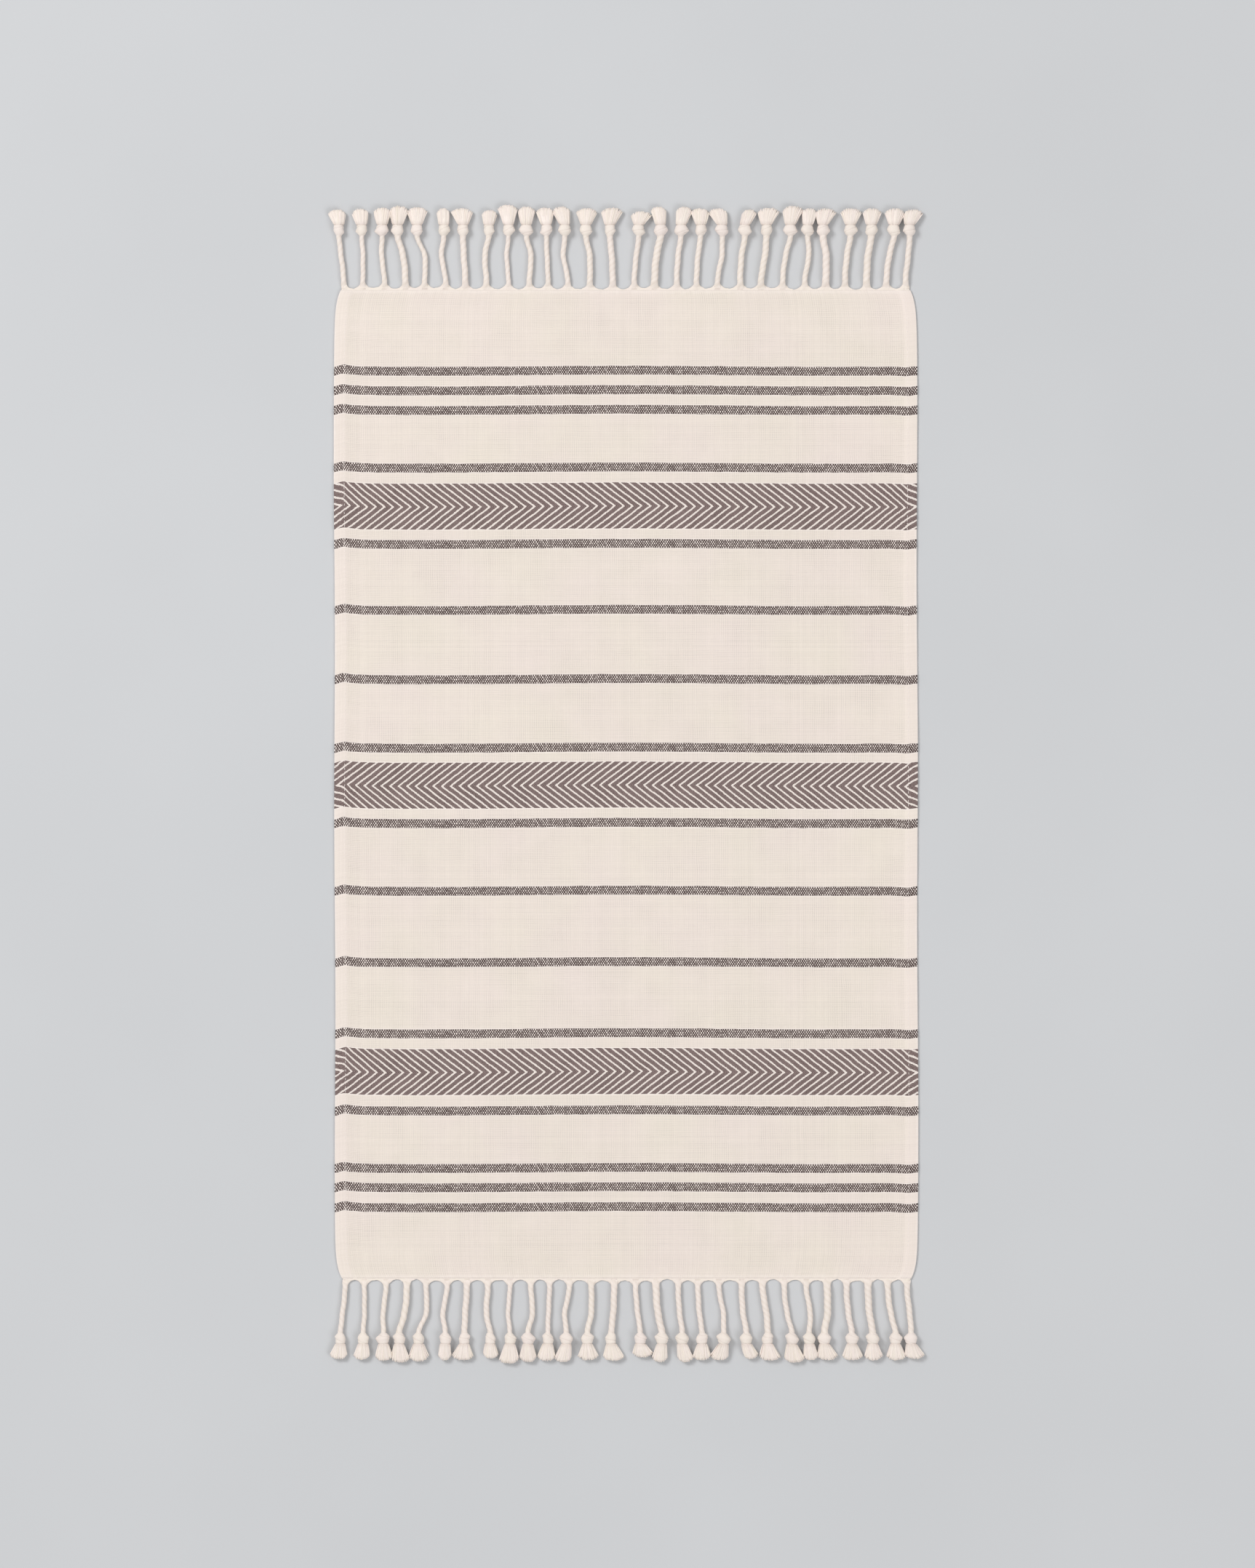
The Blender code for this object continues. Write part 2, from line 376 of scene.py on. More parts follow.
class Bench:
    """A material on the bench: its node tree, and short ways to the nodes that the finishes need."""

    def __init__(self, name: str) -> None:
        """Starts a material with a bare shader."""
        self.material = bpy.data.materials.new(name)
        self.material.use_nodes = True
        self.tree = self.material.node_tree
        self.tree.nodes.clear()
        self.shader = self.tree.nodes.new("ShaderNodeBsdfPrincipled")
        output = self.tree.nodes.new("ShaderNodeOutputMaterial")
        self.tree.links.new(self.shader.outputs["BSDF"], output.inputs["Surface"])

    def map(self, name: str) -> tuple[Wire, Wire]:
        """The two numbers of a UV map."""
        node = self.tree.nodes.new("ShaderNodeUVMap")
        node.uv_map = name
        split = self.tree.nodes.new("ShaderNodeSeparateXYZ")
        self.tree.links.new(node.outputs["UV"], split.inputs[0])
        return Wire(self.tree, split.outputs["X"]), Wire(self.tree, split.outputs["Y"])

    def tone(self) -> Wire:
        """The piece's own tone number at each point: a random tone, and on the heading the mask of the
        crease at each cord's foot, which its material paints as shadow.
        """
        node = self.tree.nodes.new("ShaderNodeAttribute")
        node.attribute_name = "tone"
        return Wire(self.tree, node.outputs["Fac"])

    def spot(self, x: Wire, y: Wire) -> Wire:
        """Two numbers as a place on a plane."""
        node = self.tree.nodes.new("ShaderNodeCombineXYZ")
        self.tree.links.new(x.socket, node.inputs["X"])
        self.tree.links.new(y.socket, node.inputs["Y"])
        return Wire(self.tree, node.outputs[0])

    def object_place(self) -> Wire:
        """The place in the piece's own coordinates."""
        node = self.tree.nodes.new("ShaderNodeTexCoord")
        return Wire(self.tree, node.outputs["Object"])

    def cloud(self, at: Wire, scale: float, detail: float = 2.0) -> Wire:
        """Soft noise about 0.

        Args:
            at: The place.
            scale: Lumps for each unit of the place.
            detail: Octaves of finer noise.

        Returns:
            Noise that is mostly within -0.5 and 0.5.
        """
        node = self.tree.nodes.new("ShaderNodeTexNoise")
        node.inputs["Scale"].default_value = scale
        node.inputs["Detail"].default_value = detail
        self.tree.links.new(at.socket, node.inputs["Vector"])
        return (Wire(self.tree, node.outputs["Fac"]) - 0.5) * 1.6

    def chance(self, x: Wire, y: Wire | None = None) -> Wire:
        """A random number for each whole number, or pair of them.

        Args:
            x: The first whole number.
            y: The second, if there is one.

        Returns:
            A number from -0.5 to 0.5.
        """
        node = self.tree.nodes.new("ShaderNodeTexWhiteNoise")
        node.noise_dimensions = "1D" if y is None else "2D"
        if y is None:
            self.tree.links.new(x.socket, node.inputs["W"])
        else:
            self.tree.links.new(self.spot(x, y).socket, node.inputs["Vector"])
        return Wire(self.tree, node.outputs["Value"]) - 0.5

    def blend(self, share: Wire | float, low: "Wire | Yarn", high: "Wire | Yarn") -> Wire:
        """A colour between two.

        Args:
            share: 0 for the first colour and 1 for the second.
            low: The first colour.
            high: The second colour.

        Returns:
            The mixed colour.
        """
        node = self.tree.nodes.new("ShaderNodeMix")
        node.data_type = "RGBA"
        self._feed(node.inputs[0], share)
        self._feed(node.inputs[6], low)
        self._feed(node.inputs[7], high)
        return Wire(self.tree, node.outputs[2])

    def shade(self, colour: Wire, by: Wire) -> Wire:
        """A colour made lighter or darker: each channel times a number."""
        node = self.tree.nodes.new("ShaderNodeMix")
        node.data_type = "RGBA"
        node.blend_type = "MULTIPLY"
        node.inputs[0].default_value = 1.0
        self._feed(node.inputs[6], colour)
        self._feed(node.inputs[7], by)
        return Wire(self.tree, node.outputs[2])

    def _feed(self, slot: bpy.types.NodeSocket, value: "Wire | Yarn | float") -> None:
        """Links a wire to a node's input, or sets the input to a yarn's colour or a number."""
        if isinstance(value, Wire):
            self.tree.links.new(value.socket, slot)
        elif isinstance(value, Yarn):
            slot.default_value = value.linear()
        else:
            slot.default_value = value

    def dress(
        self, colour: Wire, height: Wire, depth: float, roughness: Wire, sheen: float
    ) -> bpy.types.Material:
        """Ends the material.

        Args:
            colour: The base colour.
            height: The relief, from about 0 to 1.
            depth: How deep the relief is at 1, in metres.
            roughness: The shader's roughness.
            sheen: The weight of the cotton's soft fuzz.

        Returns:
            The finished material.
        """
        bump = self.tree.nodes.new("ShaderNodeBump")
        bump.inputs["Strength"].default_value = 0.8
        bump.inputs["Distance"].default_value = depth
        self.tree.links.new(height.socket, bump.inputs["Height"])
        self.tree.links.new(bump.outputs["Normal"], self.shader.inputs["Normal"])
        self.tree.links.new(colour.socket, self.shader.inputs["Base Color"])
        self.tree.links.new(roughness.socket, self.shader.inputs["Roughness"])
        self.shader.inputs["Sheen Weight"].default_value = sheen
        self.shader.inputs["Sheen Roughness"].default_value = 0.6
        self.shader.inputs["Specular IOR Level"].default_value = 0.2
        return self.material


# ------------------------------------------------------------------ cloth finishes


@dataclass(frozen=True)
class Loom:
    """What all weaves of the cloth share: the pitch of its yarns, where its hems and ends start, and
    where the painted highlight along the folded long edges starts.
    """

    end_pitch: float = 0.953 * MM
    pick_pitch: float = 0.770 * MM
    hem_from: float = 237.0 * MM
    hem_to: float = 242.5 * MM
    # The painted highlight along each folded long edge, from here out to the side.
    rim_from: float = 248.7 * MM
    rim_to: float = 250.2 * MM
    end_from: float = 420.0 * MM
    end_to: float = 424.3 * MM

    def coordinates(self, bench: Bench) -> tuple[Wire, Wire, Wire, Wire]:
        """Where a point lies in the weave, with the yarns' wander and the hems' pull.

        Args:
            bench: The material in the making.

        Returns:
            The place across, the place along the cloth, the distance from the stripe's middle,
            and the hem's share, 0 on the open cloth and 1 on the hem.
        """
        across, along = bench.map("loom")
        _, offset = bench.map("figure")
        hem = across.size().rise(self.hem_from, self.hem_to)
        spot = bench.spot(across, along)
        sway = bench.cloud(spot, 62.0) * (0.85 * MM) + bench.cloud(spot, 9.0, 0.0) * (1.1 * MM)
        dip = bench.cloud(spot, 74.0) * (0.70 * MM)
        pull = bench.cloud(spot, 150.0) * (hem * (1.2 * MM))
        drag = bench.cloud(spot, 120.0) * (hem * (0.8 * MM))
        return across + sway + pull, along + dip + drag, offset + dip + drag, hem


@dataclass(frozen=True)
class PlainWeave:
    """The towel's ground: cream ends and picks that cross one by one, with painted shade in the faint
    open grid of gaps between them and a painted highlight on their crowns.
    """

    loom: Loom
    # These three set how deep the painted shade is: in the gaps between yarns, in the holes where two
    # gaps cross, and on the yarns' flanks.
    grid: float = 0.11
    pinhole: float = 0.19
    fine: float = 0.035
    yarn_spread: float = 0.034
    streak: float = 0.05
    patch: float = 0.03
    calming: float = 0.85
    calm_relief: float = 0.7
    end_wander: float = 2.4 * MM
    depth: float = 0.16 * MM

    def surface(self, bench: Bench, across: Wire, along: Wire, hem: Wire) -> tuple[Wire, Wire]:
        """The colour and relief of the plain weave at a place.

        Args:
            bench: The material in the making.
            across: The place across the cloth.
            along: The place along it.
            hem: The hem's share.

        Returns:
            The colour, and the relief from 0 in the gaps to 1 on the crowns.
        """
        ends = across / self.loom.end_pitch
        picks = along / self.loom.pick_pitch
        warp, pick = ends.floor(), picks.floor()
        over = (warp + pick).odd()
        end_crown, pick_crown = ends.crown(), picks.crown()
        warp_up = end_crown.through("POWER", 0.6) * (0.45 + 0.55 * pick_crown)
        weft_up = pick_crown.through("POWER", 0.6) * (0.45 + 0.55 * end_crown)
        woven = over * warp_up + (1.0 - over) * weft_up
        spot = bench.spot(across, along)
        open_ends = (bench.cloud(spot, 34.0, 4.0) + 0.55).rise(0.25, 0.95)
        open_picks = (bench.cloud(spot, 41.0, 4.0) + 0.60).rise(0.20, 0.95)
        # Masks of the open gaps between ends and between picks, where painted shade falls below.
        end_gap = (ends * 0.5).crown().rise(0.62, 0.0) * open_ends
        pick_gap = (picks * 0.5).crown().rise(0.62, 0.0) * open_picks
        ragged = along.size() + bench.cloud(spot, 190.0) * self.end_wander
        end = ragged.rise(self.loom.end_from, self.loom.end_to)
        calm = 1.0 - hem.through("MAXIMUM", end) * self.calming
        relief = woven * calm + (1.0 - calm) * self.calm_relief
        streaks = bench.cloud(bench.spot(across * 80.0, picks), 1.0)
        rises = bench.cloud(bench.spot(ends, along * 60.0), 1.0)
        broad = bench.cloud(spot, 7.0)
        # Painted light and shade: shade in the gaps, the holes and on the yarns' flanks, an even slight
        # shade on the smoothed hems and ends, and a highlight on the crowns; the yarn, streak and patch
        # terms are the yarns' own tone.
        light = (
            1.0
            - ((end_gap + pick_gap) * self.grid + end_gap * pick_gap * self.pinhole) * calm
            - (end_crown.rise(0.50, 0.0) + pick_crown.rise(0.50, 0.0)) * calm * self.fine
            - (1.0 - calm) * 0.035
            + (relief - 0.6) * 0.07
            + (bench.chance(warp) + bench.chance(pick)) * self.yarn_spread
            + (streaks + rises) * (self.streak * 0.5)
            + broad * self.patch
        )
        tint = bench.blend((bench.cloud(spot, 13.0) + 0.5).rise(0.0, 1.0), Yarn.CREAM, Yarn.STRAW)
        tint = bench.blend(hem * 0.35, tint, Yarn.ROSE)
        # A painted highlight along the folds of the long edges, and the paler cut ends, both blended
        # toward bleached white.
        fold_highlight = across.size().rise(self.loom.rim_from, self.loom.rim_to)
        tint = bench.blend(fold_highlight.through("MAXIMUM", end * 0.7) * 0.5, tint, Yarn.BLEACHED)
        return bench.shade(tint, light), relief

    def material(self) -> bpy.types.Material:
        """The finished ground."""
        bench = Bench("plain_weave")
        across, along, _, hem = self.loom.coordinates(bench)
        colour, relief = self.surface(bench, across, along, hem)
        roughness = 0.95 - relief * 0.08
        return bench.dress(colour, relief, self.depth, roughness, 0.12)


@dataclass(frozen=True)
class StripeEdge:
    """The bleached line that edges every stripe, a little uneven where picks cross it."""

    half_height: float
    fray: float = 0.18 * MM
    inner: float = 0.12 * MM
    outer: float = 0.22 * MM
    paleness: float = 0.65

    def around(self, bench: Bench, spot: Wire, offset: Wire, figure: Wire, plain: Wire) -> Wire:
        """Puts the line round a stripe's figure.

        Args:
            bench: The material in the making.
            spot: The place on the cloth.
            offset: The distance from the stripe's middle.
            figure: The stripe's own colour.
            plain: The ground's colour.

        Returns:
            The figure inside the stripe, and the line's colour outside it.
        """
        edge = offset.size() + bench.cloud(spot, 500.0) * self.fray
        outside = edge.rise(self.half_height - self.inner, self.half_height + self.outer)
        return bench.blend(outside, figure, bench.blend(self.paleness, plain, Yarn.BLEACHED))


@dataclass(frozen=True)
class SpeckledBar:
    """A narrow dark bar: a lattice of charcoal picks, with cream ends as small upright lozenges."""

    loom: Loom
    ground: PlainWeave
    half_height: float = 3.75 * MM
    lozenge_pitch: float = 1.98 * MM
    lozenge_rise: float = 3.0 * MM
    open_share: float = 0.270
    depth: float = 0.22 * MM

    def material(self) -> bpy.types.Material:
        """The bar, with the bleached line that edges it."""
        bench = Bench("speckled_bar")
        across, along, offset, hem = self.loom.coordinates(bench)
        spot = bench.spot(across, offset)
        wander = bench.cloud(spot, 420.0, 1.0) * 0.22
        u = across / self.lozenge_pitch + wander
        v = offset / self.lozenge_rise + bench.cloud(spot, 300.0, 1.0) * 0.10
        rising, falling = u + v, u - v
        cell = bench.chance(rising.floor(), falling.floor())
        room = self.open_share + cell * 0.10
        first = (room - (rising.part() - 0.5).size()).rise(-0.07, 0.09)
        second = (room - (falling.part() - 0.5).size()).rise(-0.07, 0.09)
        lozenge = first * second
        plain, relief = self.ground.surface(bench, across, along, hem)
        white = bench.shade(bench.blend(0.6, plain, Yarn.BLEACHED), 1.0 + cell * 0.24)
        fleck = bench.cloud(bench.spot(across * 900.0, offset * 1500.0), 1.0)
        dark = bench.blend((fleck + 0.35).rise(0.0, 1.7), Yarn.CHARCOAL, Yarn.WORN_CHARCOAL)
        figure = bench.blend(lozenge, dark, white)
        edge = StripeEdge(self.half_height)
        colour = edge.around(bench, bench.spot(across, along), offset, figure, plain)
        height = lozenge * 0.7 + relief * 0.3
        return bench.dress(colour, height, self.depth, 0.93 - height * 0.08, 0.10)


@dataclass(frozen=True)
class ChevronBand:
    """A wide band of nested chevrons: cream ends step over one end at each charcoal pick."""

    loom: Loom
    ground: PlainWeave
    points_right: bool = True
    half_height: float = 19.7 * MM
    repeat: float = 7.64 * MM
    ends_in_repeat: float = 8.0
    line_share: float = 0.285
    apex: float = -1.8 * MM
    edge_crowding: float = 0.014
    half_width: float = 250.0 * MM
    hem_stretch: float = 0.45
    pick_slimness: float = 1.31
    stepping: float = 0.65
    jitter: float = 0.50
    depth: float = 0.24 * MM

    def material(self) -> bpy.types.Material:
        """The band, with the bleached line that edges it."""
        bench = Bench("chevron_right" if self.points_right else "chevron_left")
        across, along, offset, hem = self.loom.coordinates(bench)
        end_width = self.repeat / self.ends_in_repeat
        pick_height = end_width / self.pick_slimness
        edgeness = (across.size() / self.half_width).through("POWER", 6.0)
        past_hem = (across.size() - self.loom.hem_to).through("MAXIMUM", 0.0)
        stretched = past_hem * across.through("SIGN") * self.hem_stretch
        crowded = across * (1.0 + edgeness * self.edge_crowding) - stretched
        spot = bench.spot(across, offset)
        ends = (crowded - self.apex) / end_width + bench.cloud(bench.spot(across, along), 14.0) * 0.9
        rows = offset / pick_height + 0.5
        pick = rows.floor() + 0.5
        climb = (rows * (1 - self.stepping) + pick * self.stepping).size()
        jitter = bench.chance(rows.floor(), (ends / 2.0).floor()) * self.jitter
        step = climb if self.points_right else climb * -1.0
        diagonal = ends + step
        phase = ((diagonal + jitter) / self.ends_in_repeat).part()
        centred = (phase - 0.5).size()
        edge_from = 0.5 - self.line_share / 2
        line = centred.rise(edge_from - 0.05, edge_from + 0.045)
        plain, _ = self.ground.surface(bench, across, along, hem)
        row_crown = rows.crown()
        white = bench.blend(0.6, plain, Yarn.BLEACHED)
        # Painted light: the white floats lighter on each pick's crown and shaded between the picks.
        white = bench.shade(white, 0.77 + row_crown * 0.26)
        fleck = bench.cloud(bench.spot(across * 700.0, offset * 1300.0), 1.0)
        wear = bench.cloud(spot, 60.0)
        # Painted highlight on the crowns of the twill and the picks, mixed into the charcoal with random
        # flecks and broad wear.
        twill = (diagonal * 0.5).crown()
        crown_highlight = (twill * 0.75 + row_crown * 0.25).rise(0.15, 0.95)
        dark_share = (fleck * 1.1 + wear * 0.35 + crown_highlight * 0.60 + 0.30).rise(-0.35, 1.25)
        dark = bench.blend(dark_share, Yarn.CHARCOAL, Yarn.WORN_CHARCOAL)
        figure = bench.blend(line, dark, white)
        speck = bench.cloud(bench.spot(across, along), 380.0, 1.0).rise(0.34, 0.42) * hem
        figure = bench.blend(speck * 0.7, figure, Yarn.CHARCOAL)
        edge = StripeEdge(self.half_height)
        colour = edge.around(bench, bench.spot(across, along), offset, figure, plain)
        height = line * (0.45 + row_crown * 0.35) + (1.0 - line) * (row_crown * 0.35)
        return bench.dress(colour, height, self.depth, 0.93 - line * 0.06, 0.10)


# ------------------------------------------------------------------ yarn finishes


@dataclass(frozen=True)
class CordYarn:
    """Cotton ends laid together in a twisted cord, with painted shade in the grooves between its two
    plies and between its ends, and a painted highlight on each ply's crown.
    """

    lay: float
    ends: float = 17.0
    back_twist: float = 0.72

    def material(self) -> bpy.types.Material:
        """The cord's finish, on a map that follows the plies and runs along the cord."""
        bench = Bench("cord_yarn")
        share, run = bench.map("strand")
        tone = bench.tone()
        ply = (share * 2.0).crown()
        line = (share - run * (self.back_twist / self.lay)) * self.ends
        end = line.crown()
        drift = bench.cloud(bench.spot(share * 6.0, run * 260.0), 1.0)
        # The grooves between the plies and the gaps between the ends, which get painted shade below.
        groove = ply.rise(0.30, 0.0) * (0.75 + drift)
        gap = end.rise(0.55, 0.0) * (0.60 + drift)
        base = bench.blend(tone * 0.5 + 0.2, Yarn.ROSE, Yarn.STRAW)
        # A painted highlight on each ply's crown.
        base = bench.blend(ply.rise(0.55, 1.0) * 0.35, base, Yarn.BLEACHED)
        # Painted shade in the grooves and the gaps.
        colour = bench.blend(groove.rise(0.0, 1.0) * 0.26, base, Yarn.SHADED)
        colour = bench.blend(gap.rise(0.0, 1.0) * 0.32, colour, Yarn.SHADED)
        colour = bench.shade(colour, 1.0 + drift * 0.06 + bench.chance(line.floor()) * 0.05)
        height = ply.through("POWER", 0.7) * 0.45 + end * 0.55
        return bench.dress(colour, height, 0.12 * MM, 0.94 - end * 0.06, 0.15)


@dataclass(frozen=True)
class KnotYarn:
    """The same ends drawn tight in a knot, smooth and a little paler, with a crease between wraps and
    painted shade in it and between the ends.
    """

    lead: float
    ends: float = 15.0

    def material(self) -> bpy.types.Material:
        """The knot's finish, on a map round the knot, from where its crease starts, and along it."""
        bench = Bench("knot_yarn")
        share, run = bench.map("strand")
        tone = bench.tone()
        wrap = share + run / self.lead
        strayed = bench.cloud(bench.spot(share * 5.0, run * 230.0), 1.0)
        end = (wrap * self.ends + strayed * 0.9).crown()
        drift = bench.cloud(bench.spot(share * 8.0, run * 300.0), 1.0)
        gap = end.rise(0.45, 0.0) * (0.5 + drift)
        crease = (wrap.part() - 0.5).size().rise(0.055, 0.01)
        base = bench.blend(tone * 0.8, Yarn.ROSE, Yarn.STRAW)
        base = bench.blend(0.22, base, Yarn.BLEACHED)
        # Painted shade between the ends and in the crease between the wraps.
        colour = bench.blend(gap.rise(0.0, 1.0) * 0.15, base, Yarn.SHADED)
        colour = bench.blend(crease * 0.30, colour, Yarn.SHADED)
        colour = bench.shade(colour, 1.0 + drift * 0.05)
        return bench.dress(colour, end, 0.05 * MM, 0.94 - end * 0.05, 0.15)


@dataclass(frozen=True)
class BrushYarn:
    """Loose cut ends past the knot, each a soft single yarn with painted shade towards the knot and
    between its fibres.
    """

    name: str
    fibres: float = 5.0
    twist: float = 700.0
    free_length: float = 15.0 * MM

    def material(self) -> bpy.types.Material:
        """The loose ends' finish, on a map round and along each yarn."""
        bench = Bench(self.name)
        share, run = bench.map("strand")
        tone = bench.tone()
        fibre = (share * self.fibres + run * self.twist).crown()
        drift = bench.cloud(bench.spot(share * 4.0 + tone * 37.0, run * 350.0), 1.0)
        base = bench.blend(tone, Yarn.ROSE, Yarn.STRAW)
        pale = bench.blend((tone * 7.3).part() * 0.5, base, Yarn.BLEACHED)
        # Painted shade where the loose ends crowd in near the knot, and between the fibres.
        inner = run.rise(self.free_length * 0.30, 0.0)
        colour = bench.blend(inner * 0.40, pale, Yarn.SHADED)
        colour = bench.blend(fibre.rise(0.4, 0.0) * 0.16, colour, Yarn.SHADED)
        colour = bench.shade(colour, 1.03 + drift * 0.06 + ((tone * 13.7).part() - 0.5) * 0.07)
        return bench.dress(colour, fibre, 0.06 * MM, 0.95 - fibre * 0.04, 0.18)


@dataclass(frozen=True)
class HeadingYarn:
    """The last ends past the cloth's edge, side by side, drawn together towards each cord."""

    loom: Loom

    def material(self) -> bpy.types.Material:
        """The heading's finish, on a map round the strip's section and along the towel's width."""
        bench = Bench("heading_yarn")
        share, run = bench.map("strand")
        ends = run / self.loom.end_pitch + bench.cloud(bench.spot(share, run * 300.0), 1.0) * 0.5
        crown = ends.crown()
        drift = bench.cloud(bench.spot(share * 3.0, run * 90.0), 1.0)
        base = bench.blend((drift + 0.5).rise(0.0, 1.0), Yarn.CREAM, Yarn.STRAW)
        colour = bench.blend(0.12, base, Yarn.BLEACHED)
        # Painted shade between the ends, and painted shadow in the crease at each cord's foot, whose mask
        # comes in the tone attribute.
        colour = bench.blend(crown.rise(0.45, 0.0) * 0.07, colour, Yarn.SHADED)
        colour = bench.blend(bench.tone() * 0.60, colour, Yarn.SHADED)
        colour = bench.shade(colour, 1.0 + drift * 0.05 + bench.chance(ends.floor()) * 0.03)
        return bench.dress(colour, crown, 0.05 * MM, 0.94 - crown * 0.05, 0.15)


@dataclass(frozen=True)
class SewingThread:
    """A fine bleached sewing thread with a tight twist."""

    twist_pitch: float = 0.5 * MM

    def material(self) -> bpy.types.Material:
        """The thread's finish, on a map round and along each stitch."""
        bench = Bench("sewing_thread")
        share, run = bench.map("strand")
        ply = (share + run / self.twist_pitch).crown()
        # Painted shade in the grooves of the twist.
        colour = bench.blend(ply.rise(0.5, 0.0) * 0.4, Yarn.THREAD, Yarn.SHADED)
        colour = bench.shade(colour, 0.98 + bench.tone() * 0.04)
        return bench.dress(colour, ply, 0.05 * MM, 0.80 - ply * 0.06, 0.10)


@dataclass(frozen=True)
class PaintedFloor:
    """A plain pale painted floor with the faintest mottle."""

    pale: tuple[float, float, float, float] = (0.600, 0.610, 0.625, 1.0)
    paler: tuple[float, float, float, float] = (0.625, 0.635, 0.650, 1.0)

    def material(self) -> bpy.types.Material:
        """The floor's finish."""
        bench = Bench("painted_floor")
        place = bench.object_place()
        mottle = bench.cloud(place, 3.0, 3.0)
        node = bench.tree.nodes.new("ShaderNodeMix")
        node.data_type = "RGBA"
        node.inputs[6].default_value = self.pale
        node.inputs[7].default_value = self.paler
        bench.tree.links.new((mottle + 0.5).rise(0.0, 1.0).socket, node.inputs[0])
        grain = bench.cloud(place, 900.0) + 0.5
        colour = Wire(bench.tree, node.outputs[2])
        return bench.dress(colour, grain, 0.02 * MM, 0.82 + mottle * 0.05, 0.0)


# ------------------------------------------------------------------ cloth


@dataclass(frozen=True)
class Stripe:
    """One stripe across the towel: its weave, and how far its middle is from the cloth's middle."""

    weave: Weave
    middle: float


@dataclass
class Cloth:
    """The woven cloth: one layer turned under at both long sides, with its stripes and stitched hems."""

    loom: Loom = field(default_factory=Loom)
    half_width: float = 250.0 * MM
    half_length: float = 424.5 * MM
    thickness: float = 0.62 * MM
    rest_height: float = 0.36 * MM
    fold_radius: float = 0.33 * MM
    left_turn: float = 9.8 * MM
    right_turn: float = 9.2 * MM
    left_stitch: float = 241.4 * MM
    right_stitch: float = 242.2 * MM
    step_width: float = 4.0 * MM
    skew: float = 0.6 * MM
    waver: float = 0.4 * MM
    waver_length: float = 310.0 * MM
    corner_draw: float = 5.5 * MM
    corner_reach: float = 10.5 * MM
    row_step: float = 1.6 * MM
    column_step: float = 11.0 * MM
    stripe_border: float = 0.75 * MM
    ripple: float = 0.10 * MM
    stitch_pitch: float = 3.6 * MM
    bar_middles: tuple[float, ...] = (
        356.1, 339.3, 322.4, 272.9, 207.3, 150.6, 91.1, 32.2,
        -32.5, -90.7, -152.1, -213.2, -279.5, -328.9, -345.5, -362.6,
    )  # fmt: skip
    right_band_middles: tuple[float, ...] = (239.8, -246.1)
    left_band_middles: tuple[float, ...] = (0.0,)

    def stripes(self) -> list[Stripe]:
        """All the stripes, from the foot to the head."""
        found = [Stripe(Weave.BAR, m * MM) for m in self.bar_middles]
        found += [Stripe(Weave.BAND_RIGHT, m * MM) for m in self.right_band_middles]
        found += [Stripe(Weave.BAND_LEFT, m * MM) for m in self.left_band_middles]
        return sorted(found, key=lambda stripe: stripe.middle)

    def half_stripe(self, weave: Weave) -> float:
        """Half of a stripe's height along the towel, with the pale line that edges it."""
        dark = SpeckledBar.half_height if weave is Weave.BAR else ChevronBand.half_height
        return dark + self.stripe_border

    def rows(self) -> tuple[np.ndarray, np.ndarray, np.ndarray]:
        """The mesh's rows along the towel, which fall on every stripe's edges.

        Returns:
            The rows' places, and for each gap between two rows its weave's slot and the middle
            that its stripe is measured from.
        """
        edges, slots, middles = [-self.half_length], [], []
        for stripe in self.stripes():
            half = self.half_stripe(stripe.weave)
            edges += [stripe.middle - half, stripe.middle + half]
            slots += [Weave.GROUND.value, stripe.weave.value]
            middles += [0.0, stripe.middle]
        edges.append(self.half_length)
        slots.append(Weave.GROUND.value)
        middles.append(0.0)
        spans = np.diff(edges)
        counts = np.ceil(spans / self.row_step).astype(int)
        places = [
            low + span * np.arange(count) / count
            for low, span, count in zip(edges[:-1], spans, counts)
        ]
        places.append(np.array([self.half_length]))
        return np.concatenate(places), np.repeat(slots, counts), np.repeat(middles, counts)

    def section(self) -> tuple[np.ndarray, np.ndarray]:
        """The middle line of the cloth's section, from the left hem's hidden edge to the right one's.

        The line runs under the left hem to the fold, half round it, over the hem, down a soft step
        to the open cloth, and back the same way at the right.

        Returns:
            The line's sideways places and its heights.
        """
        low, high = self.rest_height, self.rest_height + 2 * self.fold_radius
        bend = np.linspace(0.0, math.pi, 7)
        sides = []
        for turn in (self.left_turn, self.right_turn):
            flap = np.linspace(turn, self.fold_radius, 5)[:-1]
            fold = self.fold_radius * (1 - np.sin(bend))
            over = np.linspace(self.fold_radius, turn - 0.4 * MM, 7)[1:]
            step = turn - 0.4 * MM + self.step_width * np.linspace(0.0, 1.0, 5)[1:]
            inset = np.concatenate([flap, fold, over, step])
            height = np.concatenate([
                np.full(len(flap), low),
                low + self.fold_radius * (1 - np.cos(bend)),
                np.full(len(over), high),
                high - (high - low) * smooth_share(np.linspace(0.0, 1.0, 5)[1:], 0.0, 1.0),
            ])  # fmt: skip
            sides.append((inset, height))
        (left, left_height), (right, right_height) = sides
        start, stop = -self.half_width + left[-1], self.half_width - right[-1]
        count = int(round((stop - start) / self.column_step))
        field_line = np.linspace(start, stop, count + 1)[1:-1]
        places = np.concatenate([left - self.half_width, field_line, self.half_width - right[::-1]])
        heights = np.concatenate([left_height, np.full(len(field_line), low), right_height[::-1]])
        return places, heights

